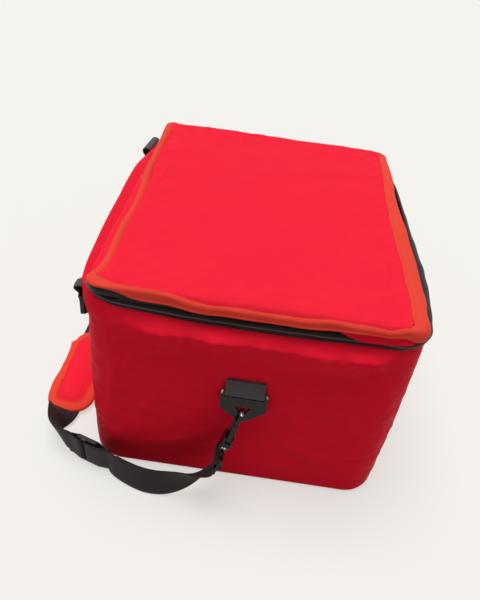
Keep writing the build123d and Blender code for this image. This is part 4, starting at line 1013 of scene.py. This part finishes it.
    def edge(self, table, sizes):
        """Bound edge: tape folded over the rim; the section follows its stations and the edge rises and falls."""
        rows = 720
        along = np.linspace(0, table[0][-1], rows, endpoint=False)
        knots, _ = edge_sections(table, along)
        lift, sway = edge_wave(table, along)
        knots[..., 1] += lift[:, None] * np.array([0.8, 0.8, 0.9, 0.8, 1])
        free = smooth_step((on_outline(table, along)[0][:, 0] - LID_LOW[0] - 10) / 20)
        knots[:, 2:, 0] += (sway * free)[:, None] * np.array([0.5, 0.9, 0.8])
        flat_knots = np.swapaxes(knots, 0, 1).reshape(5, -1)
        outer = curve_through(flat_knots, 4).reshape(-1, rows, 2).swapaxes(0, 1)
        slope = unit_rows(np.gradient(outer, axis=1))
        inward = np.stack([-slope[..., 1], slope[..., 0]], -1)
        middle = outer + 0.75 * inward
        ends = middle[:, [0, -1]] - slope[:, [0, -1]] * np.array([[[0.7], [-0.7]]])
        loop = np.concatenate([outer, ends[:, 1:], (outer + 1.5 * inward)[:, ::-1], ends[:, :1]], 1)
        tube("lid_edge_tape", band(table, along, loop), finish_of("binding_fabric"), closed=True, body="lid",
             nodes=("lid_binding",), slot="binding_fabric")
        line = band(table, along, outer[:, 2:3] + [0, 0.12])[:, 0]
        up = np.tile([0.0, 0.0, 1.0], (rows, 1))
        stitches("lid_edge_seam", line, up, sizes.stitch_pitch / MM, finish_of("red_thread"), thick=0.3,
                 body="lid", slot="binding_fabric")
        gusset = np.linspace(length_at(table, 58, LID_LOW[1]), length_at(table, 152, -120), 180)
        opened = by_station(table, gusset, [((-160, 0), 0), ((58, -197), 0), ((68, -197), 1.4), ((80, -197), 6.0),
                                            ((93, -197), 10.2), ((105, -197), 11.2), ((123, -197), 10.4),
                                            ((136, -197), 9.2), ((147, -195), 7.2), ((152, -180), 5.2),
                                            ((152, -150), 2.6), ((152, -120), 0),
                                            ((-160, 1), 0)])
        open_up = opened[:, 0] / 12.6
        reach = np.array([0.0, 0.9, 1.9, 2.4, 2.6, 1.6, 1.0, 0.4])
        drop = np.array([0.0, 3.0, 7.0, 11.0, 12.6, 10.5, 6.0, 0.6])
        inset = 1.4 - reach[None] * (0.3 + 1.25 * open_up[:, None])
        level = 248.6 - drop[None] * (0.05 + open_up[:, None])
        tube("lid_edge_gusset", band(table, gusset, np.stack([inset, level], -1)), finish_of("cover_fabric"),
             body="lid", slot="cover_fabric")


# ---------------------------------------------------------------- linings
class MakeLinings(bpy.types.Operator):
    """Foil lining of the chamber and the lid, and the facing over the rim"""
    bl_idname = "carrier.make_linings"
    bl_label = "Linings"

    def execute(self, context):
        plan = round_rectangle(LINER_LOW + 0.9, LINER_HIGH - 0.9, 9.1)
        along = np.linspace(0, plan[0][-1], 420, endpoint=False)
        floor, top = LINER_LOW[2] + 0.9, LINER_HIGH[2]
        height = np.concatenate([[floor, floor, floor, floor, floor + 0.6], np.linspace(floor + 3, top, 84)])
        share = np.concatenate([[0.02, 0.35, 0.7, 0.985], np.ones(85)])
        place, out = on_outline(plan, along)
        grid = place[:, None] * share[None, :, None]
        spots = np.concatenate([grid, np.broadcast_to(height[None, :, None], grid.shape[:2] + (1,))], -1)
        crumple = abs(ripples(spots, 26, 51)) * 0.35 + abs(ripples(spots, 11, 53)) * 0.14
        calm = smooth_step((top - height) / 8)[None] * smooth_step((height - floor) / 6)[None]
        spots[..., :2] -= out[:, None] * (crumple * calm)[..., None]
        faces, uv = net(spots, close_rows=True)
        middle = (np.arange(420) * 89)[None, :]
        add_mesh("chamber_foil", spots, [faces, middle[:, ::-1]], finish_of("foil_liner"),
                 uv=[uv, np.zeros((1, 420, 2))],
                 body="bag", facing=-1, nodes=("liner",), slot="foil_liner")
        self.lid_face()
        self.rim()
        return {"FINISHED"}

    def lid_face(self):
        """Foil under the lid: a flat closed slab whose lower face is crumpled by folded waves."""
        low, high = box_mm("lid_liner")
        x, y = np.meshgrid(np.linspace(0, 1, 150), np.linspace(0, 1, 180), indexing="ij")
        x, y = low[0] + (high[0] - low[0]) * x, low[1] + (high[1] - low[1]) * y
        corner, mid, half = 7.0, (low + high)[:2] / 2, (high - low)[:2] / 2
        a = np.maximum(abs(x - mid[0]) - (half[0] - corner), 0) / corner
        b = np.maximum(abs(y - mid[1]) - (half[1] - corner), 0) / corner
        x = x - np.sign(x - mid[0]) * corner * a * (1 - np.sqrt(1 - b ** 2 / 2))
        y = y - np.sign(y - mid[1]) * corner * b * (1 - np.sqrt(1 - a ** 2 / 2))
        spots = np.stack([x, y], -1)
        edge = smooth_step(np.minimum.reduce([x - low[0], high[0] - x, y - low[1], high[1] - y]) / 8)
        z = low[2] + 0.1 + edge * (abs(ripples(spots, 24, 61)) * 0.3 + abs(ripples(spots, 10, 63)) * 0.12)
        z[[0, -1], :] = high[2]
        z[:, [0, -1]] = high[2]
        points = np.stack([x, y, z], -1)
        faces, uv = net(points)
        add_mesh("lid_foil", points, [faces], finish_of("foil_liner"), uv=[uv], body="lid", facing=-1,
                 nodes=("lid_liner",), slot="foil_liner")

    def rim(self):
        """Facing over the wall foam: a thin closed pillow between the body outline and the chamber."""
        table = bag_outline()
        rows = 420
        along = np.linspace(0, table[0][-1], rows, endpoint=False)
        place, out = on_outline(table, along)
        low, _ = box_mm("rim_facing")
        outer = place - 9.6 * out
        outer[:, 0] = np.maximum(outer[:, 0], low[0] + 0.1)
        inner_half = np.array([142.2, 177.2])
        inner = self.on_chamber(outer, inner_half)
        share = np.array([0, 0.02, 0.12, 0.3, 0.5, 0.7, 0.88, 0.98, 1.0])
        plan = outer[:, None] * (1 - share[None, :, None]) + inner[:, None] * share[None, :, None]
        crown = np.array([239.05, 239.6, 240.0, 240.15, 240.2, 240.15, 240.0, 239.6, 239.05])
        wave = 0.1 * ripples(plan, 30, 71)
        top = np.concatenate([plan, (crown[None] + wave)[..., None]], -1)
        under = np.concatenate([plan[:, ::-1], np.full(plan.shape[:2] + (1,), 239.0)], -1)
        tube("rim_cloth", np.concatenate([top, under], 1), finish_of("rim_fabric"), closed=True, body="bag",
             nodes=("rim_facing",), slot="zip_tape")

    def on_chamber(self, spots, half):
        """Point of the chamber's outline straight inwards from each place: clamped to the rectangle."""
        inside = np.clip(spots, -half, half)
        return inside


# ---------------------------------------------------------------- webbing
def loop_line(inner, arc_centre, straight_end, tip, thickness):
    """Middle line of webbing folded round a bar, seen on its edge: two sheets from the sewn tip and a half circle."""
    r, t = inner + thickness / 2, thickness / 2
    sewn = tip - 4.0
    turn = np.linspace(-math.pi / 2, -1.5 * math.pi, 17)
    round_bar = np.stack([arc_centre + r * np.cos(turn), r * np.sin(turn)], 1)
    ahead = max(straight_end, arc_centre + 1.0)
    return np.concatenate([[(tip + 0.5, -t), (sewn, -t), (ahead, -r)], round_bar,
                           [(ahead, r), (sewn, t), (tip + 0.5, t)]])


def eased(points, passes=2):
    """Line with its kinks worn down: each inner point moves half way to the middle of its neighbours."""
    for _ in range(passes):
        points[1:-1] = 0.5 * points[1:-1] + 0.25 * (points[:-2] + points[2:])
    return points


HOOK_DOWN = unit_rows(np.array([-0.300, -0.312, -0.902]))
TILT = math.radians(14)
RING_DOWN = np.array([0, -math.sin(TILT), -math.cos(TILT)])
RING_OUT = np.array([0, -math.cos(TILT), math.sin(TILT)])
HOOK_OUT = unit_rows(RING_OUT - HOOK_DOWN * (RING_OUT @ HOOK_DOWN))
HOOK_SIDE = np.cross(HOOK_DOWN, HOOK_OUT)
HOOK_AT = np.array([0, COVER_LOW[1] - 4.4, 148.0]) + 22 * RING_DOWN
GLIDE_AT = np.array([-164.0, -208.0, 23.9])
GLIDE_RUN = np.array([math.cos(math.radians(162)), math.sin(math.radians(162)), 0])


def across_at(points, leans):
    """Wide way of the strap at each point: the level inward vector turned up by the lean, square to the run."""
    run = unit_rows(np.gradient(points, axis=0))
    inward = unit_rows(np.cross(run, [0.0, 0.0, 1.0]))
    turn = np.radians(leans)[:, None]
    across = inward * np.cos(turn) + np.array([0, 0, 1.0]) * np.sin(turn)
    return unit_rows(across - run * (across * run).sum(1, keepdims=True))


class MakeStraps(bpy.types.Operator):
    """Webbing of the tabs and the shoulder strap"""
    bl_idname = "carrier.make_straps"
    bl_label = "Webbing"

    def execute(self, context):
        sizes = context.scene.carrier_sizes
        self.wide, self.thick = sizes.webbing_width / MM, sizes.webbing_thickness / MM
        self.tabs()
        self.strap()
        return {"FINISHED"}

    def tabs(self):
        """Each tab goes down the wall, round the ring's bar and up again, and is sewn in a square."""
        side = 1393.04
        turn = math.degrees(math.asin(152 / side))
        wall_x = side - 176 - math.sqrt(side ** 2 - 152 ** 2)
        for name, spot, angle in (("front", (0, -197, 148), 0), ("back", (0, 197, 148), 180),
                                  ("left_front", (wall_x, -152, 219), turn - 90),
                                  ("left_back", (wall_x, 152, 219), -turn - 90)):
            around = np.linspace(0, -math.pi, 15)
            bend = np.stack([-4.4 + 3.6 * np.cos(around), 3.6 * np.sin(around)], 1)
            flat = [(-7.2, 4), (-4.6, 9.5), (-2.5, 13.2), (-2.4, 15.4)]
            proud = [(-7.2, 4), (-7.6, 6), (-10.2, 8.4), (-12, 10.8), (-10.4, 13.1), (-6.4, 13.8), (-2.8, 12.8)]
            if name == "left_back":
                proud = [(-7.2, 4), (-7.8, 6.4), (-10.8, 10), (-12.8, 14), (-11.6, 17.6), (-8, 19), (-3.6, 18.2),
                         (-2.4, 15.4)]
            a = math.radians(angle)
            out, along = np.array([math.sin(a), -math.cos(a), 0]), np.array([math.cos(a), math.sin(a), 0])
            section, sides = round_strip(40, self.thick), []
            for sewn in (flat, proud):
                line = even(eased(even(np.concatenate([[(-0.8, 15.4), (-0.8, 8)], bend, sewn]), 0.7)), 0.7)
                rows = np.linspace(0, len(line) - 1, 60)
                line = np.stack([np.interp(rows, np.arange(len(line)), line[:, k]) for k in (0, 1)], 1)
                run = unit_rows(np.gradient(line, axis=0))
                line = line[:, None] + np.stack([run[:, 1], -run[:, 0]], 1)[:, None] * section[None, :, 1:]
                sides.append(np.array(spot) + along * section[None, :, :1] - out * line[..., :1]
                             + np.array([0, 0, 1.0]) * line[..., 1:])
            share = {"left_front": smooth_step((section[:, 0] + 3) / 14), "left_back": 1.0}.get(name, 0.0)
            share = np.broadcast_to(share, len(section))[None, :, None]
            tube(f"tab_{name}", sides[0] * (1 - share) + sides[1] * share, finish_of("tab_webbing"), body="bag",
                 nodes=(f"ring_tab_{name}",), slot="webbing")
            square = np.array([(-17, 14.2), (17, 14.2), (17, 11.4), (-17, 11.4), (-17, 14.2)])
            square = even(square, 0.9)
            depth = np.interp(square[:, 1], [4, 9.5, 13.2, 15.4], [8.05, 5.4, 3.3, 3.25])
            seam = np.array(spot) + along * square[:, :1] + out * depth[:, None] + np.array([0, 0, 1.0]) * square[:, 1:]
            stitches(f"tab_{name}_seam", seam, np.tile(out, (len(seam), 1)), 3.2, finish_of("black_thread"),
                     thick=0.3, body="bag", slot="webbing")

    def hook_loop(self):
        """Webbing folded round the eye of the hook: its line and its wide way."""
        line = loop_line(3.13, 0, 0, 9.0, self.thick)
        centre = HOOK_AT + 60.0 * HOOK_DOWN
        points = centre + line[:, :1] * HOOK_DOWN + line[:, 1:] * HOOK_SIDE
        return points, np.tile(-HOOK_OUT, (len(points), 1))

    def glide_loop(self, heading, arc_centre):
        """Webbing folded round a bar of the adjuster."""
        line = loop_line(2.4, arc_centre, 12.3, 27.5, self.thick)
        lean = math.radians(-86)
        across = np.cross(GLIDE_RUN, [0, 0, 1.0]) * math.cos(lean) + np.array([0, 0, 1.0]) * math.sin(lean)
        along = GLIDE_RUN * heading
        off = np.cross(across, along)
        return GLIDE_AT + line[:, :1] * along + line[:, 1:] * off, np.tile(across, (len(line), 1))

    def strap(self):
        """Three lengths of webbing; each station is x, y, height and the lean of the band in degrees."""
        drop = [(-28.0, -228.4, 53.5, -42), (-36, -228.6, 44.5, -58), (-45.5, -229.8, 36.5, -74),
                (-56, -231.3, 29.5, -85), (-67, -232.8, 24.2, -93), (-79, -234, 21.3, -97)]
        front = drop + [(-93, -233.2, 20.2, -98), (-107, -230, 19.9, -97), (-122, -225, 20.6, -95),
                        (-132, -220.8, 22, -92)]
        loop = [(-198.5, -195.5, 21.8, -80), (-208.5, -187, 20.2, -74), (-214.8, -176.5, 19.4, -69),
                (-218.4, -166, 18.8, -68), (-218.8, -157, 16.2, -54), (-218.2, -149.5, 10.6, -29),
                (-217.2, -141, 6.8, -4), (-217, -132, 6.3, 0)]
        rear = drop + [(-105, -229.5, 20.2, -98), (-132, -222, 20.2, -96), (-160, -209, 20.2, -93),
                       (-184, -190, 20.2, -88), (-200, -165, 19.4, -74), (-210, -135, 15.8, -48),
                       (-215, -100, 9.8, -22), (-217, -62, 6.7, -1), (-217, -26, 6.3, 0), (-217, -4, 6.3, 0),
                       (-217, 5, 6.3, 0)]
        hook_line, hook_across = self.hook_loop()
        near, near_across = self.glide_loop(-1, -1.3)
        far, far_across = self.glide_loop(1, 10.7)
        one = self.lay("strap_front", [(hook_line, hook_across), front, (near[::-1], near_across)])
        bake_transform(one)
        two = self.lay("strap_rear", [(hook_line, hook_across), rear], mirror=True)
        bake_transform(two)
        three = self.lay("strap_pad_end", [(far, far_across), loop])
        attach(three, "bag")
        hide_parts("strap_web_front")
        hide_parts("strap_web_back")
        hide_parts("strap_web_pad")

    def lay(self, name, parts, mirror=False):
        """One length of webbing through folded ends and listed stations, the lean eased from one to the next."""
        lines, wides = [], []
        for part in parts:
            if isinstance(part, tuple):
                lines.append(part[0])
                wides.append(part[1])
            else:
                stations = np.array(part, float)
                lines.append(stations[:, :3])
                wides.append(across_at(stations[:, :3], stations[:, 3]))
        table = np.concatenate([np.concatenate(lines), np.concatenate(wides)], 1)
        fine = even(curve_through(table, 8), 1.5)
        tip = np.argmin(np.linalg.norm(fine[:, :3] - parts[0][0][-1], axis=1)) + 1
        fine[tip:tip + 60] = eased(fine[tip:tip + 60], 14)
        centres, across = fine[:, :3], unit_rows(fine[:, 3:])
        if mirror:
            centres, across = centres * [1, -1, 1], across * [1, -1, 1]
        return strip(name, centres, across, self.wide, self.thick, finish_of("webbing"), slot="webbing")


# ---------------------------------------------------------------- shoulder pad
class MakePad(bpy.types.Operator):
    """Shoulder pad: stuffed body, bound edge and sewn lines"""
    bl_idname = "carrier.make_pad"
    bl_label = "Shoulder pad"

    def execute(self, context):
        sizes = context.scene.carrier_sizes
        plan = self.outline()
        rows = 200
        along = np.linspace(0, plan[0][-1], rows, endpoint=False)
        middle = 6.3
        insets = np.array([6.5, 6.8, 8.0, 11.5, 13.6, 16.0, 20.5, 26.0, 30.5])
        rise = np.array([0.0, 1.7, 2.6, 3.2, 3.6, 4.0, 4.4, 4.6, 4.6])
        upper = np.stack([insets, middle + rise + [0, 0, 0, -0.4, -0.7, 1.0, 2.2, 2.8, 2.9]], 1)
        lower = np.stack([insets[1:], middle - rise[1:]], 1)
        place, _ = on_outline(plan, along)
        centre = np.array([(PAD_LOW[0] + PAD_HIGH[0]) / 2, (PAD_LOW[1] + PAD_HIGH[1]) / 2])
        core = np.stack([np.full(rows, centre[0]),
                         np.clip(place[:, 1], PAD_LOW[1] + 31, PAD_HIGH[1] - 31)], 1)

        def rings(profile):
            """Closed rings of points at each (inset, height), drawn from the plan towards the pad's middle line."""
            share = (profile[:, 0] / 31.0)[None, :, None]
            plan_points = place[:, None] * (1 - share) + core[:, None] * share
            level = np.broadcast_to(profile[:, 1][None, :, None], plan_points.shape[:2] + (1,))
            return np.concatenate([plan_points, level], -1)

        points = np.concatenate([rings(lower[::-1]), rings(upper)], 1)
        faces, _ = net(points, close_rows=True)
        cols = points.shape[1]
        ends = [(np.arange(rows) * cols)[::-1][None, :], (np.arange(rows) * cols + cols - 1)[None, :]]
        body = add_mesh("pad_body", points, [faces, *ends], finish_of("top_fabric"), nodes=("pad_core",),
                        slot="top_fabric")
        self.stuff(body)
        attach(body, "bag")
        self.edge(plan, along, sizes)
        return {"FINISHED"}

    def outline(self):
        """Plan of the pad: a round rectangle, its outer side worn in, most at the back behind one proud corner."""
        lengths, _, _ = plain = round_rectangle(PAD_LOW, PAD_HIGH, 25)
        place, out = on_outline(plain, np.linspace(0, lengths[-1], 500))
        worn = np.interp(place[:, 1], [-145, -128, -112, -100, -80, -58, -36, -27, -21, -8, 8],
                         [1.0, 3.4, 2.2, 1.6, 3.2, 3.8, 3.0, 0.8, 5.4, 8.0, 9.0])
        place = place - out * (worn * smooth_step((-200 - place[:, 0]) / 25))[:, None]
        steps = np.linalg.norm(np.diff(place, axis=0), axis=1)
        return np.concatenate([[0], np.cumsum(steps)]), place, out

    def stuff(self, obj):
        """Fill the pad: remesh it evenly, let cloth under pressure swell it for 20 steps, and cap each point's way."""
        scene = bpy.context.scene
        for other in bpy.context.selected_objects:
            other.select_set(False)
        obj.select_set(True)
        bpy.context.view_layer.objects.active = obj
        remesh = obj.modifiers.new("Even", "REMESH")
        remesh.mode, remesh.voxel_size, remesh.use_smooth_shade = "VOXEL", 0.003, True
        bpy.ops.object.modifier_apply(modifier=remesh.name)
        before = np.zeros(len(obj.data.vertices) * 3)
        obj.data.vertices.foreach_get("co", before)
        cloth = obj.modifiers.new("Filling", "CLOTH")
        cloth.settings.use_pressure = True
        cloth.settings.uniform_pressure_force = 4
        cloth.settings.effector_weights.gravity = 0
        cloth.settings.quality = 6
        for step in range(1, 21):
            scene.frame_set(step)
        bpy.ops.object.modifier_apply(modifier=cloth.name)
        after = np.zeros(len(obj.data.vertices) * 3)
        obj.data.vertices.foreach_get("co", after)
        before, after = before.reshape(-1, 3), after.reshape(-1, 3)
        move = after - before
        size = np.linalg.norm(move, axis=1, keepdims=True)
        after = before + move * np.minimum(1, 0.0035 / np.maximum(size, 1e-9))
        after[:, 2] = np.maximum(after[:, 2], 0.0003)
        obj.data.vertices.foreach_set("co", after.ravel())
        obj.data.update()
        scene.frame_set(1)
        smoother = obj.modifiers.new("Finer", "SUBSURF")
        smoother.levels = smoother.render_levels = 1
        bpy.ops.object.modifier_apply(modifier=smoother.name)
        obj.data.polygons.foreach_set("use_smooth", np.ones(len(obj.data.polygons), bool))

    def edge(self, plan, along, sizes):
        """Bound edge of the pad: tape folded over the rim, and a line of stitches in its middle and inside it."""
        wave = 0.4 * ripples(np.stack([np.cos(along / 60), np.sin(along / 60)], -1) * 60, 40, 81, 8)
        turn = np.linspace(-0.5 * math.pi, -1.5 * math.pi, 9)
        nose = np.stack([2.8 + 2.8 * np.cos(turn), 6.3 + 3.0 * np.sin(turn)[::1]], 1)
        outer = np.concatenate([[(9.4, 2.6), (6.0, 2.9)], nose, [(7.0, 10.0), (12.8, 10.7)]])
        inner = np.array([(12.6, 9.5), (7.0, 8.7), (3.6, 7.4), (3.0, 6.3), (3.6, 5.2), (6.0, 4.0), (9.2, 3.8)])
        shape = np.tile(np.concatenate([outer, inner]), (len(along), 1, 1))
        shape[..., 1] += 0.35 * wave[:, None]
        shape[:, 3:9, 0] += np.abs(wave)[:, None] * 0.3
        tube("pad_edge_tape", band(plan, along, shape), finish_of("binding_fabric"), closed=True, body="bag",
             nodes=("pad_binding",), slot="binding_fabric")
        up = np.tile([0.0, 0.0, 1.0], (len(along), 1))
        line = band(plan, along, np.array([[11.4, 10.62]]))[:, 0]
        stitches("pad_edge_seam", line, up, 3.4, finish_of("red_thread"), thick=0.3, body="bag", slot="binding_fabric")


# ---------------------------------------------------------------- stage
PAPER, PAPER_UNSEEN = "#f6f4f0", "#b9b7b4"          # the paper where it is looked at, and to other light
GLOW_SHARE = 0.62                                   # of the paper's looked-at colour, the rest takes the shadow
KEY_LIGHT, WORLD_LIGHT = 2.15, 0.3


class SetStage(bpy.types.Operator):
    """Pale floor, soft studio light and the camera"""
    bl_idname = "carrier.set_stage"
    bl_label = "Stage"

    def execute(self, context):
        scene = context.scene
        scene.view_settings.view_transform = "Standard"
        paper = self.paper()
        x, y = np.meshgrid([-9000.0, 9000.0], [-9000.0, 9000.0], indexing="ij")
        floor = np.stack([x, y, np.full(x.shape, -0.4)], -1)
        faces, uv = net(floor)
        ground = add_mesh("floor", floor, [faces], paper, uv=[uv], facing=1)
        ground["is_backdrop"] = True
        world = bpy.data.worlds.new("studio")
        scene.world = world
        world.use_nodes = True
        tree = world.node_tree
        tree.nodes.clear()
        plain = add_node(tree, "ShaderNodeBackground", {"Color": (1, 0.99, 0.98, 1), "Strength": WORLD_LIGHT})
        white = add_node(tree, "ShaderNodeBackground", {"Color": linear(PAPER), "Strength": 1.0})
        both = add_node(tree, "ShaderNodeMixShader", links={0: self.looked_at(tree), 1: plain.outputs[0],
                                                            2: white.outputs[0]})
        add_node(tree, "ShaderNodeOutputWorld", links={"Surface": both.outputs[0]})
        self.lamp("key_light", (-0.2, 0.12, 1.7), KEY_LIGHT)
        self.camera(scene)
        return {"FINISHED"}

    def looked_at(self, tree):
        """One for rays from the camera and for those through glass or off a glossy surface, otherwise zero."""
        seen = add_node(tree, "ShaderNodeLightPath")
        direct = product(tree, seen.outputs["Is Camera Ray"], seen.outputs["Is Transmission Ray"], "MAXIMUM")
        return product(tree, direct, seen.outputs["Is Glossy Ray"], "MAXIMUM")

    def paper(self):
        """Seamless paper: its own pale colour under a soft shadow where it is looked at, a mid grey to other light."""
        material = bpy.data.materials.new("studio_paper")
        material.use_nodes = True
        tree = material.node_tree
        tree.nodes.clear()
        looked_at, pale = self.looked_at(tree), linear(PAPER)
        tone = mixed(tree, looked_at, linear(PAPER_UNSEEN), pale)
        lit = add_node(tree, "ShaderNodeBsdfDiffuse", links={"Color": tone})
        plain = add_node(tree, "ShaderNodeEmission", {"Color": pale, "Strength": 1.0})
        share = add_node(tree, "ShaderNodeMath", {1: GLOW_SHARE}, {0: looked_at}, operation="MULTIPLY")
        both = add_node(tree, "ShaderNodeMixShader",
                        links={0: share.outputs[0], 1: lit.outputs[0], 2: plain.outputs[0]})
        add_node(tree, "ShaderNodeOutputMaterial", links={"Surface": both.outputs[0]})
        return material

    def lamp(self, name, spot, strength):
        """Very wide soft light from one side, the same all over the floor."""
        light = bpy.data.lights.new(name, "SUN")
        light.angle, light.energy = math.radians(42), strength
        lamp = bpy.data.objects.new(name, light)
        spot = np.array(spot)
        back = unit_rows(spot)
        side = unit_rows(np.cross([0, 0, 1.0], back))
        turned = np.stack([side, np.cross(back, side), back], 1)
        lamp.matrix_world = Matrix.Translation(spot.tolist()) @ Matrix(turned.tolist()).to_4x4()
        bpy.context.scene.collection.objects.link(lamp)

    def camera(self, scene):
        """Camera over the short front face, tilted down by 39 degrees and rolled by 8."""
        yaw, pitch, roll = -0.016724, 0.678282, 0.133341
        cy, sy, cx, sx, cr, sr = (f(v) for v in (yaw, pitch, roll) for f in (math.cos, math.sin))
        heading = np.array([[cy, -sy, 0], [sy, cy, 0], [0, 0, 1]])
        nod = np.array([[1, 0, 0], [0, cx, -sx], [0, sx, cx]])
        roll_it = np.array([[cr, 0, sr], [0, 1, 0], [-sr, 0, cr]])
        right, forward, up = roll_it @ nod @ heading
        lens = bpy.data.cameras.new("camera")
        lens.lens, lens.sensor_width = 568.72 * 36 / 600, 36
        lens.clip_start, lens.clip_end = 0.01, 20
        camera = bpy.data.objects.new("camera", lens)
        turned = Matrix(np.stack([right, up, -forward], 1).tolist()).to_4x4()
        camera.matrix_world = Matrix.Translation((-0.0109, -0.5882, 0.5790)) @ turned
        scene.collection.objects.link(camera)
        scene.camera = camera


# ---------------------------------------------------------------- panel and run
STEPS = (PrepareFinishes, MakeCover, MakeZip, MakeLid, MakeLinings, MakeStraps, MakePad, SetStage)


class CarrierPanel(bpy.types.Panel):
    """Steps and settings of the carrier"""
    bl_idname = "VIEW3D_PT_carrier"
    bl_label = "Vaccine carrier"
    bl_space_type = "VIEW_3D"
    bl_region_type = "UI"
    bl_category = "Carrier"

    def draw(self, context):
        for step in STEPS:
            self.layout.operator(step.bl_idname)
        for group in (context.scene.carrier_sizes, context.scene.carrier_colours):
            column = self.layout.column()
            for name in group.__annotations__:
                column.prop(group, name)


CLASSES = (CarrierSizes, CarrierColours) + STEPS + (CarrierPanel,)


def register():
    """Register the classes and hang the settings on the scene."""
    for cls in CLASSES:
        bpy.utils.register_class(cls)
    bpy.types.Scene.carrier_sizes = PointerProperty(type=CarrierSizes)
    bpy.types.Scene.carrier_colours = PointerProperty(type=CarrierColours)


def unregister():
    """Take the settings and the classes away again."""
    del bpy.types.Scene.carrier_colours
    del bpy.types.Scene.carrier_sizes
    for cls in reversed(CLASSES):
        bpy.utils.unregister_class(cls)


def corners():
    """Lowest and highest corner of the shown object, in metres."""
    return [list(corner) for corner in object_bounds()]


def main():
    """Dress the frame piece by piece."""
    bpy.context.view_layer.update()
    register()
    for step in STEPS:
        group, name = step.bl_idname.split(".")
        if getattr(getattr(bpy.ops, group), name)() != {"FINISHED"}:
            raise RuntimeError(f"{step.bl_idname} did not finish")
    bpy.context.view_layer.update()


if __name__ == "__main__":
    main()
